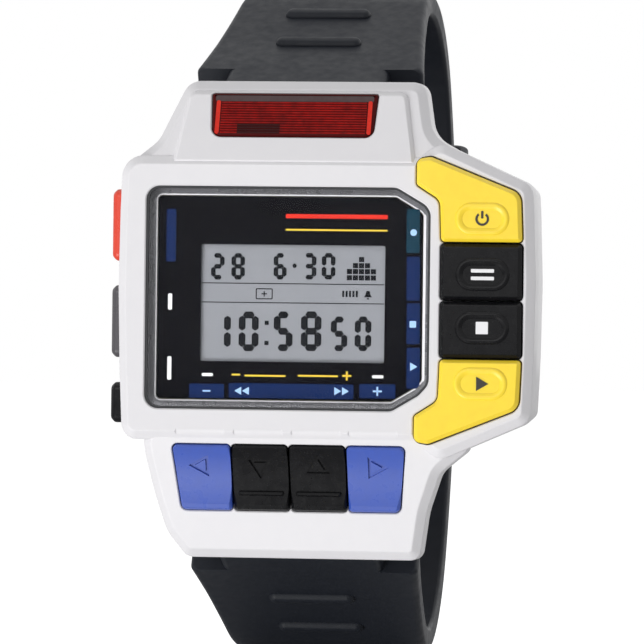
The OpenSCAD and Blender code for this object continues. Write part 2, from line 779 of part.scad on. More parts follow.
function front_x(i) = face_x + i * (front_key_w + black_gap);
module front_left_key() { color("royalblue") front_key(front_blue(-1), front_x(-1.5)); }
module front_down_key() { color("black") front_key(front_black(-1), front_x(-0.5)); }
module front_up_key() { color("black") front_key(front_black(1), front_x(0.5)); }
module front_right_key() { color("royalblue") front_key(front_blue(1), front_x(1.5)); }

// One pusher: cap in its pocket, stem through the wall and a head behind it
pusher_in = -case_left + pocket_depth - pusher_travel - play;
stem_head_r = stem_r + 0.15;
stem_head_t = 0.4;
module pusher(z, l) {
    forward(-pusher_y + pusher_t / 2, -pusher_y - pusher_t / 2)
        translate([-case_left - pusher_proud, z - l / 2]) square([pusher_in + case_left + pusher_proud, l]);
    cross_rod(-pusher_y, z, stem_r, pusher_in - over, hall_left + stem_reach);
    cross_rod(-pusher_y, z, stem_head_r, hall_left, hall_left + stem_head_t);
}

module red_pusher() { color("tomato") pusher(pusher_z[0], pusher_l[0]); }
module grey_pusher() { color("dimgrey") pusher(pusher_z[1], pusher_l[1]); }
module black_pusher() { color("black") pusher(pusher_z[2], pusher_l[2]); }

// Springs and rubber seals in the counterbores round the pushers' stems
spring_x = -case_left + pocket_depth + 0.1;
spring_wall = 0.3;
seal_wall = 0.6;
module stem_ring(z, x0, x1, wall) {
    difference() {
        cross_rod(-pusher_y, z, stem_r + play + wall, x0, x1);
        cross_rod(-pusher_y, z, stem_r + play, x0 - 1, x1 + 1);
    }
}

module pusher_springs() { color("silver") for (z = pusher_z) stem_ring(z, spring_x, seal_x, spring_wall); }
module pusher_seals() { color("black") for (z = pusher_z) stem_ring(z, seal_x, seal_x + seal_t, seal_wall); }

// Spring bar: body in the strap's tunnel and a thin tip in each lug
module spring_bar() {
    color("silver") {
        cross_rod(tunnel_y, bar_z, bar_r, strap_x - lug_gap + play, strap_x + lug_gap - play);
        cross_rod(tunnel_y, bar_z, tip_r, strap_x - lug_gap - tip_l, strap_x + lug_gap + tip_l);
    }
}

module upper_spring_bar() { at_end(1) spring_bar(); }
module lower_spring_bar() { at_end(-1) spring_bar(); }

// Points of the strap's side view at the offset t from its middle line, outwards positive
function straight_pt(s, t) = [tunnel_y, bar_z] + s * [cos(strap_flare), sin(strap_flare)]
    + t * [-sin(strap_flare), cos(strap_flare)];
function turn_pt(c, r, h, t) = c + (r + t) * [-sin(h), cos(h)];
thinning_l = 12;
bend_step = 5.5;
function strap_half_t(s) = (strap_root_t + (strap_t - strap_root_t) * min(s / thinning_l, 1)) / 2;
// One face of the strap, from its root to the given height at the back of the wrist
function strap_face(side, end_z) = concat(
    [for (s = [0 : 4 : 20]) straight_pt(s, side * strap_half_t(s))],
    [for (h = [strap_flare : -bend_step : far_turn]) turn_pt(bend_centre, bend_r, h, side * strap_t / 2)],
    let (last = -90 + asin(end_z / far_r), n = 10)
    [for (k = [1 : n]) turn_pt(far_centre, far_r, far_turn + (last - far_turn) * k / n, side * strap_t / 2)]);
function reversed(v) = [for (i = [len(v) - 1 : -1 : 0]) v[i]];

// Plan of the strap, drawn as [x, y]: it narrows from the case to the back of the wrist
taper_y = 12.8;
shoulder = 4.7;
module strap_plan(end_y) {
    polygon([[-strap_w / 2, -1], [strap_w / 2, -1], [strap_end_w / 2, taper_y], [strap_end_w / 2, end_y],
        [-strap_end_w / 2, end_y], [-strap_end_w / 2, taper_y]]);
}

module strap_band(end_z) {
    translate([strap_x, 0, 0]) intersection() {
        across(strap_w) polygon(concat(strap_face(1, end_z), reversed(strap_face(-1, end_z))));
        translate([0, 0, -20]) linear_extrude(80) union() {
            translate([-tongue_w / 2, -8]) square([tongue_w, 12]);
            translate([0, tunnel_y + shoulder, 0]) intersection() {
                strap_plan(60);
                translate([-20, 0]) square([40, 60]);
            }
        }
    }
    cross_rod(tunnel_y, bar_z, barrel_r, strap_x - tongue_w / 2, strap_x + tongue_w / 2);
    for (i = [0 : rib_count - 1]) translate([strap_x, 0, 0]) strap_rib(rib_first + i * rib_pitch);
}

// One rounded rib across the strap at the distance s along it
module strap_rib(s) {
    bend_s = (s - strap_straight) / bend_r * 180 / PI;
    at = s < strap_straight ? straight_pt(s, strap_t / 2)
        : turn_pt(bend_centre, bend_r, strap_flare - bend_s, strap_t / 2);
    lean = s < strap_straight ? strap_flare : strap_flare - bend_s;
    translate([0, at.x, at.y]) rotate([lean, 0, 0]) intersection() {
        translate([0, 0, rib_h - rib_w]) rotate([0, 90, 0]) cylinder(r = rib_w, h = rib_l, center = true);
        cube([rib_l, 2 * rib_w, 2 * rib_h], center = true);
    }
}

pin_at = turn_pt(far_centre, far_r, -90 + asin(buckle_z / far_r), 0);
pin_lean = -90 + asin(buckle_z / far_r);
pin_fit = 0.01;
prong_gap = 0.2;
end_r = strap_t / 2 + 0.2;
end_cut = 7;
end_half = strap_end_w / 2 - 1.7;
hole_count = 3;
hole_pitch = 6;
hole_r = 1.1;

module upper_strap() {
    color("darkslategrey") difference() {
        union() {
            strap_band(buckle_z);
            cross_rod(pin_at.x, pin_at.y, end_r, strap_x - end_half, strap_x + end_half);
        }
        cross_rod(tunnel_y, bar_z, bar_r + play, -reach, reach);
        cross_rod(pin_at.x, pin_at.y, pin_r + pin_fit, -reach, reach);
        translate([strap_x, pin_at.x, pin_at.y]) rotate([pin_lean, 0, 0])
            cube([prong_w + 2 * prong_gap, end_cut, end_cut], center = true);
        for (side = [-1, 1]) translate([strap_x + side * strap_end_w / 2, pin_at.x, pin_at.y])
            rotate([pin_lean, 0, 0]) cube([strap_end_w - 2 * end_half, end_cut, end_cut], center = true);
    }
}

module lower_strap() {
    color("darkslategrey") at_end(-1) difference() {
        strap_band(-tail_z);
        cross_rod(tunnel_y, bar_z, bar_r + play, -reach, reach);
        for (k = [1 : hole_count])
            let (h = -90 + asin((k * hole_pitch - tail_z) / far_r), at = turn_pt(far_centre, far_r, h, 0))
            translate([strap_x, at.x, at.y]) rotate([h, 0, 0]) cylinder(r = hole_r, h = 8, center = true);
    }
}

// Keeper: a rubber ring round the strap and the space over it, along the arc of the strap
keeper_wall = 0.9;
keeper_gap = 0.1;
keeper_side = 0.15;
// Angle at which each keeper starts and the angle that it spans
fixed_span = [13.2, 3];
sliding_span = [16.6, 3.2];
module keeper(span) {
    inner = far_r - strap_t / 2 - keeper_gap;
    outer = far_r + strap_t / 2 + tail_space;
    w = strap_end_w + 2 * keeper_side;
    translate([strap_x, far_centre.x, far_centre.y]) rotate([0, 90, 0]) rotate([0, 0, 90 + span[0]])
        rotate_extrude(angle = span[1], $fn = 180) difference() {
            translate([inner - keeper_wall, -w / 2 - keeper_wall])
                square([outer - inner + 2 * keeper_wall, w + 2 * keeper_wall]);
            translate([inner, -w / 2]) square([outer - inner, w]);
        }
}

module fixed_keeper() { color("black") keeper(fixed_span); }
module sliding_keeper() { color("black") keeper(sliding_span); }

// Buckle: pin, frame and prong, drawn flat along y from the pin and leaned to the strap
frame_half = strap_end_w / 2 + 1.6;
eye_r = 1.1;
prong_eye_r = 1.3;
prong_t = 0.85;
pin_short = 0.3;
// Notch in the frame's far bar, for the prong's end
notch_w = 2.8;
notch_l = 2;
notch_z = 0.4;
module at_pin() { translate([strap_x, pin_at.x, pin_at.y]) rotate([pin_lean, 0, 0]) children(); }

module buckle_pin() {
    color("silver") at_pin() cross_rod(0, 0, pin_r, -frame_half + pin_short, frame_half - pin_short);
}

module buckle_frame() {
    color("silver") at_pin() difference() {
        union() {
            for (side = [-1, 1]) translate([side * (frame_half - buckle_t / 2), 0, 0]) {
                translate([-buckle_t / 2, 0, -eye_r]) cube([buckle_t, buckle_l, 2 * eye_r]);
                cross_rod(0, 0, eye_r, -buckle_t / 2, buckle_t / 2);
            }
            translate([-frame_half, buckle_l - buckle_t, -eye_r]) cube([2 * frame_half, buckle_t, 2 * eye_r]);
        }
        cross_rod(0, 0, pin_r + play, -frame_half - 1, frame_half + 1);
        translate([-notch_w / 2, buckle_l - notch_l, notch_z]) cube([notch_w, notch_l + 1, 2 * eye_r]);
    }
}

module buckle_prong() {
    color("silver") at_pin() difference() {
        union() {
            cross_rod(0, 0, prong_eye_r, -prong_w / 2, prong_w / 2);
            translate([-prong_w / 2, 0, prong_eye_r - prong_t]) cube([prong_w, buckle_l, prong_t]);
        }
        cross_rod(0, 0, pin_r + play, -5, 5);
    }
}

case_middle();
case_back();
case_back_screws();
case_back_gasket();
crystal();
crystal_gasket();
display_panel();
lcd_glass();
lcd_reflector();
lcd_holder();
zebra_strips();
circuit_board();
processor_chip();
quartz_can();
battery_holder();
battery();
battery_clip();
buzzer_disc();
buzzer_spring();
infrared_window();
infrared_lamps();
right_key_mat();
front_key_mat();
front_key_board();
upper_yellow_key();
upper_black_key();
lower_black_key();
lower_yellow_key();
front_left_key();
front_down_key();
front_up_key();
front_right_key();
red_pusher();
grey_pusher();
black_pusher();
pusher_springs();
pusher_seals();
upper_spring_bar();
lower_spring_bar();
upper_strap();
lower_strap();
fixed_keeper();
sliding_keeper();
buckle_pin();
buckle_frame();
buckle_prong();
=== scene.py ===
"""Wrist watch with remote control keys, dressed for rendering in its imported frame.

The watch stands upright: its face looks along -Y, 12 o'clock is +Z and 3 o'clock is +X. Sizes in
this script are millimetres until place_piece turns them to metres. A plan frame has u across, v up
and w outwards, so w is a height over the frame's own plane.
"""
from __future__ import annotations

import logging
import math
from dataclasses import dataclass, field
from enum import Enum
from typing import Iterable, Sequence

import bmesh
import bpy
import numpy as np
from mathutils import Matrix, Vector


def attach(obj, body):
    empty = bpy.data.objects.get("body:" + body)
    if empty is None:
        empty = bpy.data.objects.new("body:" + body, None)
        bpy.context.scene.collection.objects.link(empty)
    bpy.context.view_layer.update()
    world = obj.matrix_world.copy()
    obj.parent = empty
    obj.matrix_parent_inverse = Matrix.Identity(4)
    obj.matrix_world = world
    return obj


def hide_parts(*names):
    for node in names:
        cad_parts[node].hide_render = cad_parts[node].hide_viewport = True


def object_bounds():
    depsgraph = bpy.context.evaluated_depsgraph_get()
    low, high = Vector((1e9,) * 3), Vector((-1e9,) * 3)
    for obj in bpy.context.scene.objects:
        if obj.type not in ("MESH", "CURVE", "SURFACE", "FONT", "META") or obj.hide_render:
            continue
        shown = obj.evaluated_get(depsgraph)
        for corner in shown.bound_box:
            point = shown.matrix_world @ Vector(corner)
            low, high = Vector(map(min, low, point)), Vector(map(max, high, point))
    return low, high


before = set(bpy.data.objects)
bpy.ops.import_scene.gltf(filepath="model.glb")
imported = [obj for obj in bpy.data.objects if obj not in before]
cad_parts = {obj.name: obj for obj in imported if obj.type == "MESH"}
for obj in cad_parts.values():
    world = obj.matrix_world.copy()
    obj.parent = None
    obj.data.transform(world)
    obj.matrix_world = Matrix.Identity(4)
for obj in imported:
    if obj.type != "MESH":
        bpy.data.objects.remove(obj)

MM = 0.001
WELD = 0.0008  # points of a boolean's result that lie closer than this, in millimetres, are merged
LOG = logging.getLogger("watch")
Pair = tuple[float, float]
Triple = tuple[float, float, float]
Mesh, Tree, Socket = bpy.types.Mesh, bpy.types.NodeTree, bpy.types.NodeSocket


# ---------------------------------------------------------------- outlines and plan frames

def units(rows: np.ndarray) -> np.ndarray:
    """Scale each row of an array to length one."""
    return rows / np.linalg.norm(rows, axis=-1, keepdims=True)


def rounded(corners: Sequence[Triple], step: float = 9.0) -> np.ndarray:
    """Outline through corners, each replaced by an arc that touches both its sides.

    Args:
        corners: u, v and radius of each corner, anticlockwise.
        step: largest turn from one arc point to the next, in degrees.

    Returns:
        The outline's points, one row each.
    """
    runs = []
    for i, (u, v, r) in enumerate(corners):
        here = np.array([u, v])
        if r == 0:
            runs.append(here[None])
            continue
        to_last = units(np.array(corners[i - 1][:2]) - here)
        to_next = units(np.array(corners[(i + 1) % len(corners)][:2]) - here)
        half = math.acos(float(np.clip(to_last @ to_next, -1, 1))) / 2
        turn = math.pi - 2 * half
        way = 1 if -to_last[0] * to_next[1] + to_last[1] * to_next[0] > 0 else -1
        middle = here + units(to_last + to_next) * r / math.sin(half)
        start = here + to_last * r / math.tan(half) - middle
        t = way * np.linspace(0, turn, max(2, math.ceil(math.degrees(turn) / step)) + 1)
        runs.append(middle + np.stack([start[0] * np.cos(t) - start[1] * np.sin(t),
                                       start[0] * np.sin(t) + start[1] * np.cos(t)], 1))
    return np.concatenate(runs)


def box_outline(u: float, v: float, w: float, h: float, r: float) -> np.ndarray:
    """Rounded rectangle about the point u, v."""
    return rounded([(u - w / 2, v - h / 2, r), (u + w / 2, v - h / 2, r),
                    (u + w / 2, v + h / 2, r), (u - w / 2, v + h / 2, r)])


def circle(u: float, v: float, r: float, count: int = 48) -> np.ndarray:
    """Circle about the point u, v."""
    t = np.linspace(0, 2 * math.pi, count, endpoint=False)
    return np.stack([u + r * np.cos(t), v + r * np.sin(t)], 1)


def inset(outline: np.ndarray, d: float) -> np.ndarray:
    """Move an anticlockwise outline inwards by d, each corner along its mitre."""
    a = units(outline - np.roll(outline, 1, 0))
    b = units(np.roll(outline, -1, 0) - outline)
    normal = np.stack([-a[:, 1] - b[:, 1], a[:, 0] + b[:, 0]], 1)
    return outline + normal * d / (1 + np.sum(a * b, 1))[:, None]


def flipped(outline: np.ndarray, axis: int) -> np.ndarray:
    """Mirror an outline in one axis and keep it anticlockwise."""
    return (outline * np.where(np.arange(2) == axis, -1, 1))[::-1]


def eased(profile: Sequence[Pair], soft: float, count: int = 4) -> np.ndarray:
    """Round each inner corner of a profile by a parabola that starts and ends soft away from it.

    Args:
        profile: inset and height of each corner, from the back to the front.
        soft: distance along each side at which the rounding starts.
        count: number of points on each rounding.

    Returns:
        The rounded profile, one row of inset and height for each point.
    """
    pts = np.array(profile, float)
    t = np.linspace(0, 1, count)[:, None]
    runs = [pts[:1]]
    for a, c, b in zip(pts[:-2], pts[1:-1], pts[2:]):
        start = c + (a - c) * min(soft / np.linalg.norm(a - c), 0.49)
        end = c + (b - c) * min(soft / np.linalg.norm(b - c), 0.49)
        runs.append((1 - t) ** 2 * start + 2 * t * (1 - t) * c + t ** 2 * end)
    return np.concatenate(runs + [pts[-1:]])


def plan_frame(origin: Triple, tilt: float) -> Matrix:
    """Frame whose u runs along X and whose w leans by tilt degrees from -Y towards -Z."""
    return Matrix.Translation(Vector(origin)) @ Matrix.Rotation(math.radians(90 + tilt), 4, "X")


class Form:
    """A mesh in the making: closed shells of grid points, put together in one object."""

    def __init__(self) -> None:
        """Start without points."""
        self.points: list[np.ndarray] = []
        self.faces: list[list[int]] = []
        self.count = 0

    def shell(self, rings: np.ndarray, place: Matrix | None = None, loop: bool = False) -> "Form":
        """Add rings of points, each joined to the next by quads, and close both ends.

        Args:
            rings: array of rings, points and coordinates; each ring is anticlockwise seen from
                the end towards which the rings advance.
            place: frame that the points are given in; without one they are world points.
            loop: whether the last ring joins the first, as in a ring of a torus.

        Returns:
            This form, so that calls can be chained.
        """
        m, n, _ = rings.shape
        index = np.arange(m * n).reshape(m, n) + self.count
        low, high = (index, np.roll(index, -1, 0)) if loop else (index[:-1], index[1:])
        quads = np.stack([low, np.roll(low, -1, 1), np.roll(high, -1, 1), high], -1).reshape(-1, 4)
        self.faces += quads.tolist()
        if not loop:
            self.faces += [index[0][::-1].tolist(), index[-1].tolist()]
        flat = rings.reshape(-1, 3)
        if place is not None:
            turn = np.array(place)
            flat = flat @ turn[:3, :3].T + turn[:3, 3]
        self.points.append(flat)
        self.count += m * n
        return self

    def block(self, outline: np.ndarray, profile: Sequence[Pair] | np.ndarray, place: Matrix,
              slope: Triple | None = None, loop: bool = False) -> "Form":
        """Add a block: an outline carried along a profile of inset and height.

        Args:
            outline: anticlockwise plan outline.
            profile: inset and height of each ring, from the back to the front.
            place: plan frame of the outline.
            slope: height change for each millimetre of v, the v where it is nothing, and the
                height under which the rings stay level.
            loop: whether the last ring joins the first, which makes a frame round an opening.

        Returns:
            This form.
        """
        rings = []
        for d, w in profile:
            plan = inset(outline, d) if d else outline
            rise = slope[0] * (plan[:, 1] - slope[1]) if slope and w > slope[2] else 0
            rings.append(np.column_stack([plan, np.broadcast_to(w + rise, len(plan))]))
        return self.shell(np.array(rings), place, loop)

    def plate(self, outlines: Iterable[np.ndarray], low: float, high: float,
              place: Matrix) -> "Form":
        """Add straight prisms between two heights, one for each outline."""
        for outline in outlines:
            self.block(outline, [(0, low), (0, high)], place)
        return self

    def tube(self, path: np.ndarray, sections: np.ndarray, across: Sequence[float] = (1, 0, 0),
             loop: bool = False, place: Matrix | None = None) -> "Form":
        """Add a section carried along a path.

        Args:
            path: points of the path, one row each.
            sections: one outline for each path point, or one for all: s along the across
                direction and t along the path's normal, which is tangent x across.
            across: direction that stays level along the path.
            loop: whether the path closes on itself.
            place: frame that the path is given in.

        Returns:
            This form.
        """
        if loop:
            tangent = np.roll(path, -1, 0) - np.roll(path, 1, 0)
        else:
            tangent = np.gradient(path, axis=0)
        side = np.broadcast_to(np.array(across, float), path.shape)
        normal = units(np.cross(units(tangent), side))
        sections = np.broadcast_to(sections, (len(path), *sections.shape[-2:]))
        rings = path[:, None] + sections[..., :1] * side[:, None]
        return self.shell(rings + sections[..., 1:] * normal[:, None], place, loop)

    def mesh(self, name: str) -> Mesh:
        """Make the mesh, still in millimetres."""
        mesh = bpy.data.meshes.new(name)
        mesh.from_pydata(np.concatenate(self.points), [], self.faces)
        mesh.validate()
        return mesh


def linked(name: str, data: bpy.types.ID) -> bpy.types.Object:
    """Return a new object for a mesh, lamp or camera, linked to the scene."""
    made = bpy.data.objects.new(name, data)
    bpy.context.scene.collection.objects.link(made)
    return made


def place_piece(name: str, shape: "Form | Mesh", finish: "Finish", body: str,
                replaces: Sequence[str] = (), sharp: float = 32) -> None:
    """Turn a form or a mesh into a piece of the watch.

    Args:
        name: the piece's name.
        shape: its shape, in millimetres in the watch's frame, which is scaled to metres here.
        finish: its finish, whose material it is given.
        body: the body that it rides on.
        replaces: the CAD nodes that it stands for.
        sharp: turn, in degrees, over which an edge stays sharp.
    """
    mesh = shape.mesh(name) if isinstance(shape, Form) else shape
    mesh.transform(Matrix.Scale(MM, 4))
    mesh.polygons.foreach_set("use_smooth", np.ones(len(mesh.polygons), bool))
    mesh.set_sharp_from_angle(angle=math.radians(sharp))
    piece = linked(name, mesh)
    even = piece.modifiers.new("even_normals", "WEIGHTED_NORMAL")
    even.keep_sharp = True
    mesh.materials.append(finish.material())
    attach(piece, body)
    if replaces:
        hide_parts(*replaces)
    LOG.info("%s rides on %s", name, body)


class Join(Enum):
    """The ways in which one closed shape changes another."""

    ADD = "UNION"
    CUT = "DIFFERENCE"


def joined(mesh: Mesh, tools: Iterable[Form], how: Join) -> Mesh:
    """Combine a closed mesh with closed forms by exact booleans, one after the other.

    Args:
        mesh: the mesh that is changed.
        tools: the forms that are added or taken away.
        how: whether they are added or taken away.

    Returns:
        The combined mesh.
    """
    for tool in tools:
        pair = [linked("shape", mesh), linked("tool", tool.mesh("tool"))]
        step = pair[0].modifiers.new("combine", "BOOLEAN")
        step.operation, step.solver, step.object = how.value, "EXACT", pair[1]
        graph = bpy.context.evaluated_depsgraph_get()
        mesh = bpy.data.meshes.new_from_object(pair[0].evaluated_get(graph))
        for used in pair:
            bpy.data.objects.remove(used)
        work = bmesh.new()
        work.from_mesh(mesh)
        bmesh.ops.remove_doubles(work, verts=work.verts, dist=WELD)
        bmesh.ops.dissolve_degenerate(work, edges=work.edges, dist=WELD)
        work.to_mesh(mesh)
        work.free()
    return mesh


# ---------------------------------------------------------------- finishes

def add(tree: Tree, kind: str, takes: dict | None = None, **settings) -> bpy.types.Node:
    """Add a shader node.

    Args:
        tree: the node tree.
        kind: the node's type.
        takes: for each input a plain value, or the socket that feeds it.
        **settings: the node's own settings.

    Returns:
        The new node.
    """
    node = tree.nodes.new(kind)
    for key, value in settings.items():
        setattr(node, key, value)
    for key, value in (takes or {}).items():
        if isinstance(value, Socket):
            tree.links.new(value, node.inputs[key])
        else:
            node.inputs[key].default_value = value
    return node


def reckon(tree: Tree, how: str, *values) -> Socket:
    """Result of a Math node for plain values and sockets."""
    return add(tree, "ShaderNodeMath", dict(enumerate(values)), operation=how).outputs[0]


def noise(tree: Tree, at, scale, detail) -> Socket:
    """Value of a noise texture at a vector socket; its scale and detail are numbers or sockets."""
    takes = {"Vector": at, "Scale": scale, "Detail": detail}
    return add(tree, "ShaderNodeTexNoise", takes).outputs["Fac"]


def group(name: str, takes: dict, gives: dict) -> tuple[Tree, dict, bpy.types.Node]:
    """Start a shader node group.

    Args:
        name: the group's name.
        takes: socket type and default of each input.
        gives: socket type of each output.

    Returns:
        The tree, its input sockets by name, and its output node.
    """
    tree = bpy.data.node_groups.new(name, "ShaderNodeTree")
    for key, (kind, value) in takes.items():
        socket = tree.interface.new_socket(key, in_out="INPUT", socket_type=kind)
        socket.default_value = value
    for key, kind in gives.items():
        tree.interface.new_socket(key, in_out="OUTPUT", socket_type=kind)
    source, sink = tree.nodes.new("NodeGroupInput"), tree.nodes.new("NodeGroupOutput")
    return tree, {o.name: o for o in source.outputs}, sink


NUMBER, TINT, ARROW = "NodeSocketFloat", "NodeSocketColor", "NodeSocketVector"
WHITE = (1, 1, 1, 1)
COAT_ROUGH, SCRATCH_SCALE, BUMP_STRENGTH = 0.08, 260.0, 0.6


def tone_group() -> Tree:
    """Colour that drifts from one tone to another over a piece, by two sizes of noise added."""
    tree, given, sink = group("drifting_tone", {
        "Base": (TINT, WHITE), "Patch": (TINT, WHITE), "Scale": (NUMBER, 60.0),
        "Amount": (NUMBER, 0.5)}, {"Color": TINT, "Mask": NUMBER})
    at = add(tree, "ShaderNodeTexCoord").outputs["Object"]
    broad = noise(tree, at, given["Scale"], 4.0)
    small = noise(tree, at, reckon(tree, "MULTIPLY", given["Scale"], 11.0), 2.0)
    mask = add(tree, "ShaderNodeMapRange", {"Value": reckon(tree, "ADD", broad, small),
                                            "From Min": 0.75, "From Max": 1.25}).outputs[0]
    mix = add(tree, "ShaderNodeMix", {0: reckon(tree, "MULTIPLY", mask, given["Amount"])},
              data_type="RGBA")
    tree.links.new(given["Base"], mix.inputs[6])
    tree.links.new(given["Patch"], mix.inputs[7])
    tree.links.new(mix.outputs[2], sink.inputs["Color"])
    tree.links.new(mask, sink.inputs["Mask"])
    return tree


def grain_group() -> Tree:
    """Fine surface grain: noise in coordinates stretched by a factor for each axis."""
    tree, given, sink = group("surface_grain", {
        "Scale": (NUMBER, 4000.0), "Stretch": (ARROW, (1, 1, 1)), "Detail": (NUMBER, 3.0)},
        {"Height": NUMBER})
    at = add(tree, "ShaderNodeTexCoord").outputs["Object"]
    drawn = add(tree, "ShaderNodeVectorMath", {0: at, 1: given["Stretch"]}, operation="MULTIPLY")
    height = noise(tree, drawn.outputs[0], given["Scale"], given["Detail"])
    tree.links.new(height, sink.inputs["Height"])
    return tree


def scratch_group() -> Tree:
    """Hairline marks: thin bands where a stretched noise passes its middle value."""
    tree, given, sink = group("hairline_marks", {
        "Scale": (NUMBER, 300.0), "Width": (NUMBER, 0.004)}, {"Mask": NUMBER})
    at = add(tree, "ShaderNodeTexCoord").outputs["Object"]
    turned = add(tree, "ShaderNodeMapping", {"Vector": at, "Rotation": (0.3, 0.9, 0.6),
                                             "Scale": (1, 4, 0.3)}).outputs[0]
    off = reckon(tree, "SUBTRACT", noise(tree, turned, given["Scale"], 1.0), 0.5)
    line = add(tree, "ShaderNodeMapRange", {"Value": reckon(tree, "ABSOLUTE", off), "To Min": 1.0,
                                            "From Max": given["Width"], "To Max": 0.0})
    tree.links.new(line.outputs[0], sink.inputs["Mask"])
    return tree


class Effects:
    """The shared node groups, each built when it is first asked for."""

    made: dict[str, Tree] = {}
    makers = {"tone": tone_group, "grain": grain_group, "scratch": scratch_group}

    @classmethod
    def use(cls, tree: Tree, which: str, takes: dict) -> bpy.types.Node:
        """Place the named group in a material, with its own values."""
        if which not in cls.made:
            cls.made[which] = cls.makers[which]()
        node = tree.nodes.new("ShaderNodeGroup")
        node.node_tree = cls.made[which]
        for key, value in takes.items():
            node.inputs[key].default_value = value
        return node


@dataclass(frozen=True)
class Finish:
    """An opaque finish whose tone, gloss and grain change over the surface.

    color drifts towards patch by amount, in patches that patch_scale sizes. grain and stretch
    size the bump, whose depth is in millimetres, and scratches roughens hairline marks.
    """

    name: str
    slot: str
    color: Triple
    patch: Triple
    rough: float = 0.4
    rough_spread: float = 0.08
    amount: float = 0.5
    patch_scale: float = 70
    grain: float = 4500
    stretch: Triple = (1, 1, 1)
    depth: float = 0.006
    metallic: float = 0.0
    coat: float = 0.0
    specular: float = 0.5
    scratches: float = 0.0

    def material(self) -> bpy.types.Material:
        """Return the material, which is built once under a name that no CAD material has."""
        name = f"{self.name}_finish"
        found = bpy.data.materials.get(name)
        if found:
            return found
        made = bpy.data.materials.new(name)
        made.use_nodes = True
        self.build(made.node_tree)
        return made

    def build(self, tree: Tree) -> bpy.types.Node:
        """Wire the shader and return it."""
        shader = tree.nodes["Principled BSDF"]
        shader.inputs["Metallic"].default_value = self.metallic
        shader.inputs["Coat Weight"].default_value = self.coat
        shader.inputs["Coat Roughness"].default_value = COAT_ROUGH
        shader.inputs["Specular IOR Level"].default_value = self.specular
        tone = Effects.use(tree, "tone", {"Base": (*self.color, 1), "Patch": (*self.patch, 1),
                                          "Scale": self.patch_scale, "Amount": self.amount})
        tree.links.new(tone.outputs["Color"], shader.inputs["Base Color"])
        grain = Effects.use(tree, "grain", {"Scale": self.grain, "Stretch": self.stretch})
        gloss = add(tree, "ShaderNodeMapRange", {
            "Value": tone.outputs["Mask"], "To Min": self.rough - self.rough_spread,
            "To Max": self.rough + self.rough_spread})
        spread = gloss.outputs[0]
        if self.scratches:
            marks = Effects.use(tree, "scratch", {"Scale": SCRATCH_SCALE})
            spread = reckon(tree, "MULTIPLY_ADD", marks.outputs["Mask"], self.scratches, spread)
        tree.links.new(spread, shader.inputs["Roughness"])
        bump = add(tree, "ShaderNodeBump", {"Height": grain.outputs["Height"],
                                            "Strength": BUMP_STRENGTH, "Distance": self.depth * MM})
        tree.links.new(bump.outputs["Normal"], shader.inputs["Normal"])
        return shader


@dataclass(frozen=True)
class ClearPane(Finish):
    """Clear glass or plastic that lets the light of the lamps through to what lies behind it."""

    ior: float = 1.12

    def build(self, tree: Tree) -> bpy.types.Node:
        """Wire the clear shader and let shadow rays pass."""
        shader = super().build(tree)
        shader.inputs["Transmission Weight"].default_value = 1.0
        shader.inputs["IOR"].default_value = self.ior
        shade = add(tree, "ShaderNodeLightPath").outputs["Is Shadow Ray"]
        through = add(tree, "ShaderNodeBsdfTransparent", {"Color": (*self.color, 1)})
        mix = add(tree, "ShaderNodeMixShader", {0: shade, 1: shader.outputs[0],
                                                2: through.outputs[0]})
        tree.links.new(mix.outputs[0], tree.nodes["Material Output"].inputs["Surface"])
        return shader


PEARL = Finish("pearl_plastic", "case_plastic", (0.76, 0.75, 0.77), (0.725, 0.715, 0.74), 0.34,
               0.06, patch_scale=45, grain=5200, depth=0.005, coat=0.2, specular=0.35,
               scratches=0.05)
STEEL = Finish("brushed_steel", "back_steel", (0.56, 0.56, 0.57), (0.47, 0.47, 0.48), 0.3, 0.08,
               grain=3000, stretch=(0.06, 1, 1), depth=0.0025, metallic=1.0, scratches=0.1)
SPRING = Finish("spring_wire", "spring_steel", (0.6, 0.6, 0.6), (0.5, 0.5, 0.52), 0.24, 0.06,
                depth=0.002, metallic=1.0)
SEAL = Finish("seal_rubber", "seal_rubber", (0.012, 0.013, 0.016), (0.02, 0.021, 0.024), 0.5, 0.08)
CRYSTAL = ClearPane("clear_crystal", "clear_crystal", (1, 1, 1), (0.97, 0.98, 0.99), 0.03, 0.01,
                    patch_scale=40, depth=0.0001, specular=0.05)
PANEL = Finish("panel_black", "panel_print", (0.0015, 0.0015, 0.003), (0.003, 0.003, 0.005), 0.22,
               0.04, depth=0.0002, specular=0.06)
NAVY = Finish("navy_ink", "panel_print", (0.003, 0.016, 0.083), (0.003, 0.013, 0.065), 0.32, 0.05,
              depth=0.001, specular=0.1)
TEAL = Finish("teal_ink", "panel_print", (0.004, 0.035, 0.06), (0.004, 0.028, 0.05), 0.32, 0.05,
              depth=0.001, specular=0.1)
LIGHT_BLUE = Finish("light_ink", "panel_print", (0.35, 0.55, 0.85), (0.3, 0.5, 0.8), 0.35, 0.05,
                    depth=0.001)
GOLD_INK = Finish("yellow_ink", "panel_print", (0.85, 0.6, 0.03), (0.75, 0.52, 0.03), 0.35, 0.05,
                  depth=0.001)
BORDER = Finish("silver_border", "panel_print", (0.13, 0.13, 0.14), (0.1, 0.1, 0.11), 0.3, 0.08,
                metallic=0.5, grain=2600, depth=0.0006, amount=0.3)
DISPLAY = Finish("display_grey", "display_glass", (0.25, 0.258, 0.28), (0.228, 0.236, 0.257), 0.3,
                 0.04, patch_scale=30, grain=9000, depth=0.001, specular=0.15)
DIGIT = Finish("digit_dark", "display_glass", (0.004, 0.005, 0.007), (0.008, 0.009, 0.012), 0.35,
               0.05, depth=0.001, specular=0.1)
IVORY = Finish("holder_ivory", "holder_plastic", (0.7, 0.66, 0.55), (0.6, 0.56, 0.46), 0.5)
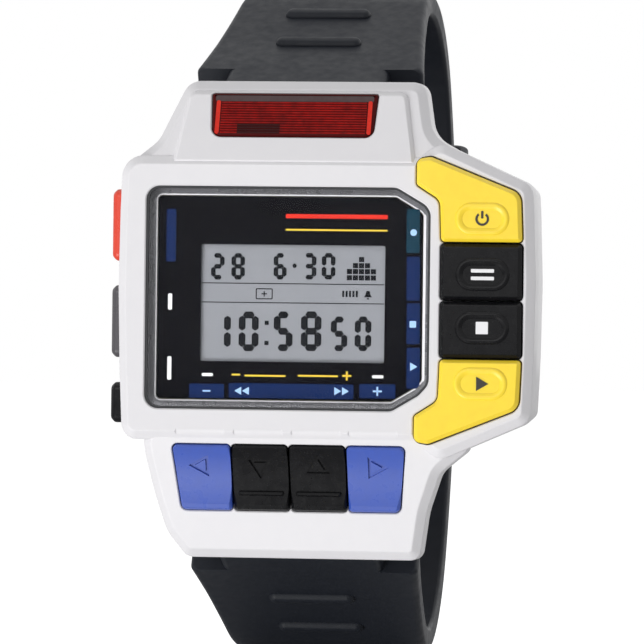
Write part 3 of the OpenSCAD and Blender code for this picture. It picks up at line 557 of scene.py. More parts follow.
BOARD = Finish("board_green", "board_green", (0.015, 0.12, 0.04), (0.012, 0.09, 0.03), 0.35,
               grain=1500)
CHIP = Finish("chip_black", "chip_black", (0.012, 0.012, 0.013), (0.02, 0.02, 0.02), 0.45)
BRASS = Finish("piezo_brass", "piezo_brass", (0.72, 0.5, 0.18), (0.6, 0.4, 0.14), 0.3, metallic=1.0,
               stretch=(1, 1, 0.1))
RED_GLASS = Finish("infrared_red", "infrared_red", (0.07, 0.001, 0.001), (0.04, 0.001, 0.001), 0.16,
                   0.04, patch_scale=220, amount=0.6, depth=0.001, specular=0.1)
# painted light: the window's own red made lighter on its ribs, as they look where light comes
# through them
LIT_RED_RIB = Finish("lit_infrared_rib", "infrared_red", (0.33, 0.006, 0.004), (0.13, 0.002, 0.002), 0.2,
                 0.05, patch_scale=120, amount=0.9, depth=0.001, specular=0.08)
# red of the panel's printed line, and painted glow: the same bright red on the window's end strips
# stands in for light shining through them
RED_PRINT_AND_GLOW = Finish("red_print_and_painted_glow", "infrared_red", (0.72, 0.03, 0.015), (0.5, 0.015, 0.01), 0.15,
                  0.04, patch_scale=300, depth=0.001, specular=0.2)
# painted reflection: a grey band along the window's rounded top stands in for the lamps' reflection
# there
PAINTED_REFLECTION = Finish("painted_reflection_red", "infrared_red", (0.075, 0.05, 0.052), (0.05, 0.02, 0.02), 0.2, 0.05,
               patch_scale=160, depth=0.001, specular=0.3)
SHADE = Finish("emitter_shade", "infrared_red", (0.035, 0.002, 0.002), (0.02, 0.002, 0.002), 0.2,
               0.05, patch_scale=300, depth=0.001, specular=0.12)
MAT = Finish("mat_rubber", "mat_rubber", (0.4, 0.4, 0.42), (0.34, 0.34, 0.36), 0.6)
YELLOW = Finish("yellow_plastic", "key_yellow", (0.96, 0.72, 0.035), (0.92, 0.64, 0.03), 0.34, 0.05,
                patch_scale=90, coat=0.2)
BLACK = Finish("black_plastic", "key_black", (0.004, 0.004, 0.005), (0.007, 0.007, 0.008), 0.24,
               0.05, patch_scale=120, depth=0.003, specular=0.18)
BLUE = Finish("blue_plastic", "key_blue", (0.045, 0.098, 0.46), (0.036, 0.08, 0.38), 0.3, 0.05,
              patch_scale=110, coat=0.2)
RED = Finish("red_plastic", "pusher_red", (0.72, 0.055, 0.024), (0.6, 0.04, 0.02), 0.32)
GREY = Finish("grey_plastic", "pusher_grey", (0.07, 0.066, 0.074), (0.055, 0.052, 0.06), 0.35)
MARK_DARK = Finish("mark_dark", "key_black", (0.02, 0.016, 0.012), (0.035, 0.025, 0.02), 0.45,
                   depth=0.001)
MARK_WHITE = Finish("mark_white", "key_black", (0.85, 0.85, 0.86), (0.75, 0.75, 0.77), 0.45,
                    depth=0.001)
RUBBER = Finish("strap_rubber", "strap_rubber", (0.009, 0.011, 0.016), (0.013, 0.015, 0.021), 0.5,
                0.08, amount=0.4, patch_scale=90, grain=6500, depth=0.01, specular=0.22)

SOLID_FINISHES: tuple[tuple[Finish, str], ...] = (
    (STEEL, "case_back case_back_screws battery"), (PANEL, "display_panel"), (DISPLAY, "lcd_glass"),
    (SEAL, "case_back_gasket crystal_gasket zebra_strips pusher_seals"), (BORDER, "lcd_reflector"),
    (IVORY, "lcd_holder battery_holder"), (BOARD, "circuit_board front_key_board"),
    (CHIP, "processor_chip infrared_lamps"), (MAT, "right_key_mat front_key_mat"),
    (BRASS, "buzzer_disc"), (SPRING, "quartz_can battery_clip buzzer_spring pusher_springs "
                                     "upper_spring_bar lower_spring_bar buckle_pin"))


# ---------------------------------------------------------------- case

TOP_LEAN, LOWER_LEAN = 22.0, 20.0
FRONT = plan_frame((0, 0, 0), 0)
LOWER_FACE = plan_frame((0, -11.3, -12), LOWER_LEAN)
PLATEAU = plan_frame((0, -11.6, 16.2), -TOP_LEAN)
# u runs along -Y, v up and w along -X, for what stands on the left side
LEFT_SIDE = Matrix(((0, 0, -1, 0), (-1, 0, 0, 0), (0, 1, 0, 0), (0, 0, 0, 1)))
# middles: of the display, window and front keys, of the strap, and of the rows of keys and pushers
FACE_U, STRAP_X = -1.2, -1.4
KEY_ROW_U, KEY_ROW_V = 18.025, 2.1
FRONT_KEY_V, FRONT_KEY_PITCH = -3.95, 5.75
PUSHER_U = 6.0
YELLOW_KEY = rounded([(14, 5.8, 0.4), (22.05, 5.8, 0.4), (21.85, 10.6, 1.4), (12.9, 14.15, 0.6),
                      (11.5, 13.95, 0.7), (11.5, 11.4, 0.5), (13.85, 9.9, 1.2)])
RECESS = rounded([(-15.6, -8.9, 1.4), (9.2, -8.9, 1.4), (11.9, -7.3, 1.4), (12.9, -6.2, 1.4),
                  (12.9, 10.8, 1.4), (12.4, 11.5, 1.4), (9.5, 13.2, 1.4), (-15.6, 13.2, 1.4)])
WINDOW = rounded([(FACE_U - 8.1, 2.1, 1.0), (FACE_U + 8.1, 2.1, 1.0), (FACE_U + 8.4, 6.85, 0.3),
                  (FACE_U - 8.4, 6.85, 0.3)])
BEZEL = rounded([
    (-17.95, -12, 1.6), (11.6, -12, 0.5), (13.9, -13.7, 1.6), (22.95, -9.75, 1.6),
    (23.5, 4, 150), (22.95, 13.5, 1.6), (13.7, 17.7, 1.5), (11.6, 16.2, 0.5),
    (-18.15, 16.2, 2.2), (-18.6, 3, 200)])
TOP = rounded([
    (-16.9, 13.9, 1.1), (15.4, 14.2, 1.1), (15.7, 16.7, 1.1), (12.7, 18.3, 3), (11.6, 23.75, 1.6),
    (-12.2, 23.75, 1.8), (-14.8, 17.7, 2.6), (-17.5, 15.42, 1.1)])
BOTTOM = rounded([
    (-16, -10.9, 1.5), (-15.75, -13.6, 6), (-14.95, -17.7, 30), (-14, -21.2, 4),
    (-12.1, -23.75, 1.2), (11.4, -23.75, 1.2), (12.3, -18.9, 8), (13.8, -14.9, 2.5),
    (16.8, -12.55, 1.1), (16.4, -10.4, 1.1)])
RAISED = rounded([
    (-13.15, 15.4, 0), (11.3, 15.4, 0), (10.0, 22.7, 0.9), (-11.9, 22.7, 0.9)])


def right_key_plans() -> dict[str, np.ndarray]:
    """Plan outlines of the four right keys, from the top down."""
    lift = np.array([0, KEY_ROW_V])
    return {"upper_yellow_key": YELLOW_KEY + lift,
            "upper_black_key": box_outline(KEY_ROW_U, KEY_ROW_V + 2.85, 8.05, 5.5, 0.4),
            "lower_black_key": box_outline(KEY_ROW_U, KEY_ROW_V - 2.85, 8.05, 5.5, 0.4),
            "lower_yellow_key": flipped(YELLOW_KEY, 1) + lift}


def front_key_plans() -> dict[str, np.ndarray]:
    """Plan outlines of the four front keys on the lower face, from left to right."""
    blue = rounded([(5.85, -7.4, 0.4), (10.95, -7.4, 0.6), (11.65, -0.5, 0.5), (5.85, -0.5, 0.4)])
    middle, half = np.array([FACE_U, 0]), FRONT_KEY_PITCH / 2
    return {"front_left_key": flipped(blue, 0) + middle,
            "front_down_key": box_outline(FACE_U - half, FRONT_KEY_V, 5.55, 6.9, 0.4),
            "front_up_key": box_outline(FACE_U + half, FRONT_KEY_V, 5.55, 6.9, 0.4),
            "front_right_key": blue + middle}


@dataclass(frozen=True)
class CaseBlock:
    """One of the case's blocks: a wall that draws in to the back, and a slanted front edge."""

    plan: np.ndarray
    front_w: float
    back_w: float
    draft: float
    edge: float = 0.85
    slope: Triple | None = None

    def form(self) -> Form:
        """Make the block, with every corner of its profile eased."""
        wall_w = self.front_w - self.edge
        profile = [(self.draft, self.back_w), (self.draft * 0.8, self.back_w + 0.4),
                   (0, wall_w - 2.5), (0, wall_w), (self.edge, self.front_w),
                   (self.edge + 0.13, self.front_w)]
        return Form().block(self.plan, eased(profile, 0.14), FRONT, self.slope)


def lipped(outline: np.ndarray, gap: float, lip: Pair, levels: Triple, place: Matrix) -> Form:
    """Make what cuts an opening with a slanted lip.

    Args:
        outline: plan of what stands in the opening.
        gap: how far the opening's wall stands off it.
        lip: how far the lip leads out, and how high it is.
        levels: heights of the opening's foot, of the lip's top and of the form's top.
        place: plan frame of the outline.

    Returns:
        The form that is cut away.
    """
    (out, rise), (low, top, high) = lip, levels
    return Form().block(outline, [(-gap, low), (-gap, top - rise), (-gap - out, top),
                                  (-gap - out, high)], place)


@dataclass
class Case:
    """Case: four blocks with slanted front edges, joined, then hollowed and cut.

    Its heights are those of the bezel's front and of the wall's back.
    """

    face_w: float = 12.0
    back_w: float = 0.8

    def blocks(self) -> list[CaseBlock]:
        """List the bezel, the sloping top, the sloping bottom and the raised plateau."""
        up = (-math.tan(math.radians(TOP_LEAN)), 16.2, 6.5)
        down = (math.tan(math.radians(LOWER_LEAN)), -12, 6.5)
        low = self.back_w + 0.11
        return [CaseBlock(BEZEL, self.face_w, self.back_w, 0.7),
                CaseBlock(TOP, 11.1, low, 1.0, slope=up),
                CaseBlock(BOTTOM, 11.3, low, 1.0, slope=down),
                CaseBlock(RAISED, 11.6, 5.8, 0.3, 0.35, up)]

    def halls(self) -> list[Form]:
        """Make the rooms behind the openings, and the seats of the crystal and the case back."""
        return [Form().plate([outline], low, high, FRONT) for outline, low, high in (
            (inset(RECESS, 0.9), 9.5, 10.35),  # behind the crystal
            (box_outline(FACE_U, 1.9, 27.6, 23, 0.3), 5, 9.6),  # display
            (box_outline(0, 0, 28.6, 22.4, 3.6), -1, 5.1),  # boards and battery
            (box_outline(0, 0, 31.1, 24.9, 2.5), -1, 1.02),  # case back
            (box_outline(17.3, KEY_ROW_V, 10.6, 21, 1.5), 3.2, 10.2))]  # right keys

    def front_cuts(self) -> list[Form]:
        """Make the openings of the keys and the infrared window, and the scallops over the keys."""
        cuts = [lipped(outline, 0.14, (0.11, 0.11), (10.1, self.face_w + 0.01, 13), FRONT)
                for outline in right_key_plans().values()]
        cuts += [lipped(outline, 0.13, (0.1, 0.11), (-1.9, 0.01, 1.2), LOWER_FACE)
                 for outline in front_key_plans().values()]
        key_hall = box_outline(FACE_U, FRONT_KEY_V, 24, 8.3, 0.5)
        lamp_hall = box_outline(FACE_U, 4.425, 14, 3.6, 0.5)
        cuts += [Form().plate([key_hall], -4.6, -1.8, LOWER_FACE),
                 lipped(WINDOW, 0.02, (0.13, 0.13), (-1.2, 0.01, 2), PLATEAU),
                 Form().plate([lamp_hall], -3.4, -1.1, PLATEAU)]
        for _, u in FrontKeys().marks.values():
            path = np.array([[u, -12.41, 11.87], [u, -11, 12.62]])
            cuts.append(Form().tube(path, box_outline(0, 0, 5.1, 1.3, 0.3), place=FRONT))
        return cuts

    def side_cuts(self) -> list[Form]:
        """Make the pushers' pockets and bores, and the recesses of the strap's tongues."""
        cuts = []
        for row in Pushers().rows:
            pocket = box_outline(PUSHER_U, row.v, 3.7, row.length + 0.3, 0.9)
            cuts.append(lipped(pocket, 0, (0.15, 0.16), (16.75, 18.36, 21), LEFT_SIDE))
            cuts += [Form().plate([circle(PUSHER_U, row.v, r)], low, high, LEFT_SIDE)
                     for r, low, high in ((1.5, 15.7, 17), (0.78, 14, 16))]
        return cuts + [Form().plate([box_outline(STRAP_X, v, 16.6, 8.8, 0.3)], -3, 5.3, FRONT)
                       for v in (24, -24)]

    def build(self) -> None:
        """Make the case and dress it."""
        first, *others = (block.form() for block in self.blocks())
        mesh = joined(first.mesh("case_middle_shell"), others, Join.ADD)
        display = lipped(RECESS, 0, (0.13, 0.13), (10.25, self.face_w + 0.01, 13), FRONT)
        cuts = [display, *self.halls(), *self.front_cuts(), *self.side_cuts()]
        place_piece("case_shell", joined(mesh, cuts, Join.CUT), PEARL, "case", ["case_middle"])


# ---------------------------------------------------------------- keys and pushers

class Mark(Enum):
    """Plain pictograms that the keys and the panel carry."""

    RING_BAR = "ring with a bar"
    SQUARE = "square"
    RIGHT = "triangle to the right"
    BARS = "two bars"
    DOT = "dot"
    PLUS = "plus"
    MINUS = "minus"
    FORWARD = "two triangles to the right"
    BACKWARD = "two triangles to the left"


def triangle(u: float, v: float, size: float, turn: float) -> np.ndarray:
    """Triangle that points along turn degrees from u; its corners lie on a circle."""
    t = np.radians(turn + np.array([0, 120, 240]))
    return np.stack([u + size * np.cos(t), v + size * np.sin(t)], 1)


def mark_outlines(mark: Mark, u: float, v: float, size: float) -> list[np.ndarray]:
    """Outlines of a pictogram about a point.

    Args:
        mark: which pictogram.
        u: its middle across.
        v: its middle upwards.
        size: its height.

    Returns:
        One anticlockwise outline for each plate of it.
    """
    line, r = size * 0.2, size / 2
    match mark:
        case Mark.SQUARE:
            return [box_outline(u, v, size * 0.9, size * 0.9, size * 0.06)]
        case Mark.RIGHT:
            return [triangle(u, v, size * 0.6, 0)]
        case Mark.FORWARD | Mark.BACKWARD:
            turn = 0 if mark is Mark.FORWARD else 180
            return [triangle(u + d * size * 0.42, v, size * 0.5, turn) for d in (-1, 1)]
        case Mark.BARS:
            return [box_outline(u, v + d * r * 0.55, size * 1.7, line * 1.3, line * 0.3)
                    for d in (-1, 1)]
        case Mark.DOT:
            return [circle(u, v, r, 28)]
        case Mark.MINUS:
            return [box_outline(u, v, size, line, line * 0.3)]
        case Mark.PLUS:
            return [box_outline(u, v, w, h, line * 0.3) for w, h in ((size, line), (line, size))]
        case Mark.RING_BAR:
            t = np.radians(np.linspace(128, 412, 34))
            way, inner = np.stack([np.cos(t), np.sin(t)], 1), r - line * 0.8
            ring = np.concatenate([r * way, inner * way[::-1]]) + (u, v)
            return [ring, box_outline(u, v + r * 0.62, line * 0.8, size * 0.55, line * 0.2)]
    raise ValueError(mark)


@dataclass(frozen=True)
class RightKey:
    """One key of the right row: its mark, its oval's middle, and its neck's height.

    u is measured as in FRONT, and the heights v and neck_v from the row's middle.
    """

    mark: Mark
    u: float
    v: float
    neck_v: float


@dataclass
class RightKeys:
    """Right key row: flat caps with slanted edges, raised finger ovals and plain marks."""

    top_w: float = 12.5
    edge: float = 0.34
    oval: Triple = (5.3, 3.15, 1.56)
    keys: dict[str, RightKey] = field(default_factory=lambda: {
        "upper_yellow_key": RightKey(Mark.RING_BAR, 18.1, 8.07, 8.25),
        "upper_black_key": RightKey(Mark.BARS, 18.2, 2.6, 2.85),
        "lower_black_key": RightKey(Mark.SQUARE, 18.2, -2.65, -2.85),
        "lower_yellow_key": RightKey(Mark.RIGHT, 18.1, -8.15, -8.25)})

    def cap(self, plan: np.ndarray, key: RightKey) -> Form:
        """Make one key: cap, raised oval rim, neck and flange."""
        wall = [(0, 10.7), (0, self.top_w - self.edge), (self.edge, self.top_w),
                (self.edge + 0.045, self.top_w)]
        rim = [(-0.12, 12.3), (-0.06, 12.5), (0.12, 12.66), (0.34, 12.68), (0.7, 12.52),
               (0.8, 12.3)]
        neck_v, oval = KEY_ROW_V + key.neck_v, box_outline(key.u, KEY_ROW_V + key.v, *self.oval)
        form = Form().block(plan, eased(wall, 0.06), FRONT)
        form.block(oval, eased(rim, 0.1), FRONT, loop=True)
        form.plate([box_outline(17.8, neck_v, 6.9, 4.4, 0.2)], 10.15, 10.8, FRONT)
        return form.plate([box_outline(17.98, neck_v, 8.9, 4.4, 0.3)], 9.4, 10.2, FRONT)

    def build(self) -> None:
        """Make the four keys and their marks."""
        for name, plan in right_key_plans().items():
            key, body = self.keys[name], f"{name}_body"
            finish, ink = (YELLOW, MARK_DARK) if "yellow" in name else (BLACK, MARK_WHITE)
            place_piece(f"{name}_cap", self.cap(plan, key), finish, body, [name])
            outlines = mark_outlines(key.mark, key.u, KEY_ROW_V + key.v, 1.35)
            place_piece(f"{name}_mark", Form().plate(outlines, 12.4, 12.56, FRONT), ink, body)


@dataclass
class FrontKeys:
    """Front key row: caps dished by a wide cylinder, with engraved triangles.

    Each triangle is given by the angle along which it points, and its middle.
    """

    top_w: float = 0.35
    dish_r: float = 14.0
    dish_v: float = -3.3
    mark_v: float = -2.7
    marks: dict[str, Pair] = field(default_factory=lambda: {
        "front_left_key": (180, -9.95), "front_down_key": (270, -4.1), "front_up_key": (90, 1.7),
        "front_right_key": (0, 7.4)})

    def cap(self, name: str, plan: np.ndarray) -> Mesh:
        """Make one key: block, minus the dish, minus a triangle, plus its raised middle."""
        (turn, u), top = self.marks[name], self.top_w
        wall = eased([(0, -1.8), (0, top - 0.3), (0.3, top), (0.345, top)], 0.07)
        block = Form().block(plan, wall, LOWER_FACE)
        path = np.array([[u + d, self.dish_v, self.dish_r - 0.05] for d in (-6, 6)])
        dish = Form().tube(path, circle(0, 0, self.dish_r, 160), (0, 1, 0), place=LOWER_FACE)
        groove, island = (
            Form().plate([triangle(u, self.mark_v, size, turn)], low, high, LOWER_FACE)
            for size, low, high in ((1.35, -0.24, 0.5), (0.72, -0.5, -0.04)))
        return joined(joined(block.mesh(name), [dish, groove], Join.CUT), [island], Join.ADD)

    def build(self) -> None:
        """Make the four keys, each with its flange, and the black ones with a low ridge."""
        for i, (name, plan) in enumerate(front_key_plans().items()):
            cap, u = self.cap(name, plan), FACE_U + (i - 1.5) * FRONT_KEY_PITCH
            flange = box_outline(u, FRONT_KEY_V, 5.3, 7.6, 0.2)
            extras, finish = [Form().plate([flange], -2.6, -1.78, LOWER_FACE)], BLUE
            if name in ("front_down_key", "front_up_key"):
                strip, finish = box_outline(u, -5.5, 4.5, 0.45, 0.15), BLACK
                ridge = eased([(0, -0.4), (0, 0.3), (0.16, 0.5), (0.2, 0.5)], 0.06)
                extras.append(Form().block(strip, ridge, LOWER_FACE))
            mesh = joined(cap, extras, Join.ADD)
            place_piece(f"{name}_cap", mesh, finish, f"{name}_body", [name])


@dataclass(frozen=True)
class Pusher:
    """One side pusher: its node, height, length and finish."""

    node: str
    v: float
    length: float
    finish: Finish


@dataclass
class Pushers:
    """Side pushers: rounded caps on stems that run through the case wall."""

    rows: tuple[Pusher, ...] = (
        Pusher("red_pusher", 9.3, 7.15, RED), Pusher("grey_pusher", -0.3, 7.2, GREY),
        Pusher("black_pusher", -8.4, 4.05, BLACK))
    end_w: float = 19.8

    def build(self) -> None:
        """Make the three pushers: cap, stem and the ring that keeps it in."""
        cap = eased([(0, 17.3), (0, self.end_w - 0.4), (0.4, self.end_w), (0.66, self.end_w)], 0.16)
        for row in self.rows:
            form = Form().block(box_outline(PUSHER_U, row.v, 3.4, row.length, 0.8), cap, LEFT_SIDE)
            for r, low, high in ((0.7, 13.9, 17.4), (0.85, 14.6, 15)):
                form.plate([circle(PUSHER_U, row.v, r)], low, high, LEFT_SIDE)
            place_piece(f"{row.node}_cap", form, row.finish, f"{row.node}_body", [row.node])


@dataclass
class InfraredWindow:
    """Red window: ribs painted as lit, ends painted as a glow, a painted reflection along the top.
    """

    rib_pitch: float = 0.27
    rib_r: float = 0.09
    low_v: float = 2.5

    def ribs(self, count: int, left: float, right: float, proud: float = 0.0) -> Form:
        """Make ribs: half rounds, one for each pitch up the window.

        Args:
            count: how many, from the lowest up.
            left: where they start, from the window's middle.
            right: where they end.
            proud: how much larger their radius is than the ribs' own.

        Returns:
            The form of all the ribs.
        """
        form, r = Form(), self.rib_r + proud
        t = np.linspace(0, math.pi, 9)
        section = np.stack([r * np.cos(t), 0.09 + (r - 0.015) * np.sin(t)], 1)
        for v in self.low_v + self.rib_pitch * np.arange(count):
            ring = np.stack([np.insert(section + (v, 0), 0, FACE_U + u, 1) for u in (left, right)])
            form.shell(ring, PLATEAU)
        return form

    def build(self) -> None:
        """Make the window, its ribs and end strips painted as lit, the painted reflection, and the
        shade of its emitter.
        """
        pane = eased([(0.03, -1.2), (0.03, -0.1), (0.2, 0.1), (0.5, 0.1)], 0.09)
        strips = [box_outline(FACE_U + d * 7.62, 4.15, 0.42, 3.6, 0.2) for d in (-1, 1)]
        band = box_outline(FACE_U, 6.17, 15.9, 0.62, 0.2)
        place_piece("infrared_pane", Form().block(WINDOW, pane, PLATEAU), RED_GLASS, "case",
                    ["infrared_window"])
        # ribs, end strips and band carry painted light: lit ribs, a glow at the ends and a
        # reflection along the top
        for name, form, finish in (
                ("infrared_ribs", self.ribs(13, -7.3, 7.3), LIT_RED_RIB),
                ("infrared_end_strips", Form().plate(strips, 0.05, 0.125, PLATEAU), RED_PRINT_AND_GLOW),
                ("infrared_painted_reflection", Form().plate([band], 0.05, 0.115, PLATEAU), PAINTED_REFLECTION),
                ("infrared_shade", self.ribs(4, -5.6, -1.3, 0.006), SHADE)):
            place_piece(name, form, finish, "case")


# ---------------------------------------------------------------- display

SEGMENTS = {"0": "abcdef", "1": "bc", "2": "abged", "3": "abgcd", "5": "afgcd", "6": "afgedc",
            "8": "abcdefg", "-": "g"}


def bar(a: np.ndarray, b: np.ndarray, thick: float) -> np.ndarray:
    """Pointed bar from a to b: a hexagon whose long sides are thick apart."""
    along = units(b - a) * thick / 2
    across = np.array([-along[1], along[0]])
    point = 0.7 * along
    return np.array([a, a + point - across, b - point - across,
                     b, b - point + across, a + point + across])


def digit(text: str, u: float, v: float, w: float, h: float, thick: float) -> list[np.ndarray]:
    """Bars of one seven-bar digit about its middle, kept a hair apart at their ends."""
    x, y, gap = (w - thick) / 2, (h - thick) / 2, thick * 0.1
    ends = {"a": ((-x, y), (x, y)), "b": ((x, 0), (x, y)), "c": ((x, -y), (x, 0)),
            "d": ((-x, -y), (x, -y)), "e": ((-x, -y), (-x, 0)), "f": ((-x, 0), (-x, y)),
            "g": ((-x, 0), (x, 0))}
    bars = []
    for key in SEGMENTS[text]:
        a, b = np.array(ends[key])
        step = units(b - a) * gap
        bars.append(bar(a + step, b - step, thick) + np.array([u, v]))
    return bars


@dataclass
class Display:
    """Display: crystal, silver border, printed panel and the marks on the liquid crystal glass.

    A field is given by its middle, width, height and finish, a mark by its kind, middle and size,
    and a digit by its text, middle, width, height and bar thickness.
    """

    panel_w: float = 10.25
    glass_w: float = 9.85
    line_t: float = 0.16
    fields: tuple = (
        (10.96, 8.94, 1.3, 4.32, TEAL), (11.02, 4.24, 1.3, 4.32, NAVY),
        (11.07, -0.21, 1.3, 4.02, NAVY), (11.12, -4.61, 1.3, 4.02, NAVY),
        (-13.31, 8.29, 0.94, 5.21, NAVY), (-9.57, -7.12, 3.49, 1.4, NAVY),
        (-1.08, -7.04, 12.49, 1.45, NAVY), (7.57, -6.94, 3.59, 1.4, NAVY))
    light_marks: tuple = (
        (Mark.DOT, 11.01, 8.79, 0.66), (Mark.SQUARE, 11.04, -0.27, 0.72),
        (Mark.RIGHT, 11.06, -4.46, 0.8), (Mark.BACKWARD, -5.92, -7.07, 0.92),
        (Mark.FORWARD, 3.88, -6.98, 0.92), (Mark.MINUS, -9.57, -7.12, 0.8),
        (Mark.PLUS, 7.57, -6.94, 0.9))
    yellow_marks: tuple = ((Mark.MINUS, -6.64, -5.47, 0.85), (Mark.PLUS, 4.5, -5.45, 0.9))
    digits: tuple = (
        ("2", -8.65, 5.25, 1.35, 2.62, 0.46), ("8", -6.6, 5.27, 1.35, 2.62, 0.46),
        ("6", -2.38, 5.32, 1.3, 2.62, 0.46), ("-", -0.93, 5.39, 1.0, 2.6, 0.44),
        ("3", 0.57, 5.36, 1.37, 2.62, 0.46), ("0", 2.48, 5.38, 1.37, 2.62, 0.46),
        ("1", -8.22, -1.19, 1.9, 3.92, 0.68), ("0", -5.47, -1.17, 2.0, 3.93, 0.68),
        ("5", -2.0, -1.12, 1.9, 3.93, 0.68), ("8", 0.81, -1.08, 2.05, 3.93, 0.68),
        ("5", 3.61, -1.3, 1.66, 3.42, 0.6), ("0", 6.01, -1.27, 1.66, 3.42, 0.6))
    pyramid: tuple = ((6.08, 1), (5.47, 3), (4.88, 5), (4.26, 5))

    def crystal(self) -> None:
        """Make the crystal, a pane with a slanted rim, and the border round the panel behind it."""
        pane = eased([(0, 10.32), (0, 11.6), (0.25, 11.85), (0.5, 11.85)], 0.08)
        form = Form().block(inset(RECESS, 0.27), pane, FRONT)
        place_piece("crystal_pane", form, CRYSTAL, "case", ["crystal"])
        border = [(0.3, 10.2), (0.3, 10.285), (0.78, 10.285), (0.78, 10.2)]
        form = Form().block(RECESS, border, FRONT, loop=True)
        place_piece("crystal_border", form, BORDER, "case")

    def printed(self, name: str, outlines: list[np.ndarray], finish: Finish,
                proud: float = 0.025) -> None:
        """Print outlines on the panel as one piece that stands proud of it."""
        form = Form().plate(outlines, self.panel_w - 0.01, self.panel_w + proud, FRONT)
        place_piece(name, form, finish, "case")

    def panel(self) -> None:
        """Make the panel's prints: coloured fields, marks and plain bars."""
        for finish, name in ((NAVY, "navy_fields"), (TEAL, "teal_field")):
            fields = [box_outline(*row[:4], 0.12) for row in self.fields if row[4] is finish]
            self.printed(name, fields, finish, 0.015)
        light = [o for mark in self.light_marks for o in mark_outlines(*mark)]
        self.printed("light_marks", light, LIGHT_BLUE)
        yellow = [o for mark in self.yellow_marks for o in mark_outlines(*mark)]
        yellow += [box_outline(u, v, w, self.line_t, 0.05)
                   for u, v, w in ((-3.7, -5.55, 4.1), (1.6, -5.5, 4.0), (3.3, 8.95, 10.2))]
        self.printed("yellow_marks", yellow, GOLD_INK)
        white = [box_outline(-13.35, v, 0.4, size, 0.1) for v, size in ((1.7, 1.6), (-4.9, 2.3))]
        white += [box_outline(u, -5.5, 1.1, 0.3, 0.1) for u in (-9.5, 7.6)]
        self.printed("white_bars", white, MARK_WHITE)
        self.printed("red_line", [box_outline(3.3, 10.3, 10.2, 0.42, 0.1)], RED_PRINT_AND_GLOW)

    def icons(self) -> list[np.ndarray]:
        """Outlines of the glass's dividers and icons: pyramid, short bars and bell."""
        bars = [box_outline(-1.08, v, 18.3, 0.09, 0.02) for v in (3.6, 1.7)]
        for v, count in self.pyramid:
            first = 5.78 - (count - 1) / 2 * 0.6
            bars += [box_outline(first + i * 0.6, v, 0.52, 0.5, 0.03) for i in range(count)]
        bars += [box_outline(3.98 + i * 0.34, 2.66, 0.2, 0.62, 0.03) for i in range(5)]
        bell = rounded([(6.05, 2.35, 0.04), (6.87, 2.35, 0.04), (6.7, 2.6, 0.1), (6.64, 2.98, 0.16),
                        (6.28, 2.98, 0.16), (6.22, 2.6, 0.1)])
        return [*bars, bell, box_outline(6.46, 2.2, 0.2, 0.14, 0.05)]

    def glass_marks(self) -> None:
        """Make the dark marks of the display's glass: digits, colon, icons and a framed plus."""
        low, high = self.glass_w - 0.01, self.glass_w + 0.02
        bars = [o for row in self.digits for o in digit(*row)]
        bars += [box_outline(-3.66, v, 0.42, 0.42, 0.05) for v in (-0.3, -2.3)]
        form = Form().plate(bars + self.icons(), low, high, FRONT)
        rim = [(0, low), (0, high), (0.1, high), (0.1, low)]
        form.block(box_outline(-3.95, 2.575, 1.7, 1.09, 0.12), rim, FRONT, loop=True)
        form.plate(mark_outlines(Mark.PLUS, -3.95, 2.575, 0.55), low, high, FRONT)
        place_piece("glass_marks", form, DIGIT, "case")

    def build(self) -> None:
        """Make the display's pieces from the front to the back."""
        self.crystal()
        self.panel()
        self.glass_marks()


# ---------------------------------------------------------------- strap and buckle

# heights of the buckle's pin and, before it is mirrored, of the lower half's end
PIN_Z, TAIL_Z = 9.0, 4.5
# a plan frame turned so that its w runs along the buckle's pin
PIN_AXES = Matrix(((0, 0, 1, 0), (1, 0, 0, 0), (0, 1, 0, 0), (0, 0, 0, 1)))


class End(Enum):
    """The two ends of the case, each with its half of the strap."""

    UPPER = "upper"
    LOWER = "lower"


@dataclass(frozen=True)
class Route:
    """Middle line of the strap: straight from the spring bar, a bend, and a wide arc behind."""

    root: Pair = (-3.4, 21.6)
    flare: float = math.radians(27)
    straight: float = 21.0
    bend_r: float = 16.0
    bend_turn: float = math.radians(88)
    far_r: float = 50.81304
    far_y: float = -7.87318

    def heading(self, s: np.ndarray) -> np.ndarray:
        """Angle of the strap over the horizontal at the lengths s along it."""
        bent = self.flare - (s - self.straight) / self.bend_r
        turned = self.flare - self.bend_turn
        far = turned - (s - self.straight - self.bend_r * self.bend_turn) / self.far_r
        return np.where(s < self.straight, self.flare, np.where(bent > turned, bent, far))

    def points(self, s: np.ndarray) -> np.ndarray:
        """Points of the middle line at the lengths s: on the line, the bend or the far arc."""
        h = self.heading(s)
        start = np.array(self.root)
        along = np.array([math.cos(self.flare), math.sin(self.flare)])
        out = np.stack([-np.sin(h), np.cos(h)], 1)
        centre = start + self.straight * along + self.bend_r * np.array([along[1], -along[0]])
        line = start + s[:, None] * along
        far = np.array([self.far_y, 0]) + self.far_r * out
        bend = centre + self.bend_r * out
        yz = np.where((h > self.flare - self.bend_turn)[:, None], bend, far)
        yz = np.where((s < self.straight)[:, None], line, yz)
        return np.column_stack([np.full(len(s), STRAP_X), yz])

    def frame_at(self, s: float, lift: float = 0.0) -> Matrix:
        """Plan frame on the strap at the length s: u across, v along it and w outwards."""
        h = float(self.heading(np.array([s]))[0])
        x, y, z = self.points(np.array([s]))[0]
        at = Matrix.Translation((x, y - lift * math.sin(h), z + lift * math.cos(h)))
        return at @ Matrix.Rotation(h, 4, "X")

    def length_to(self, z: float) -> float:
        """Length along the strap at which the far arc comes down to the height z."""
        fall = self.flare - self.bend_turn + math.pi / 2 - math.asin(z / self.far_r)
        return self.straight + self.bend_r * self.bend_turn + self.far_r * fall


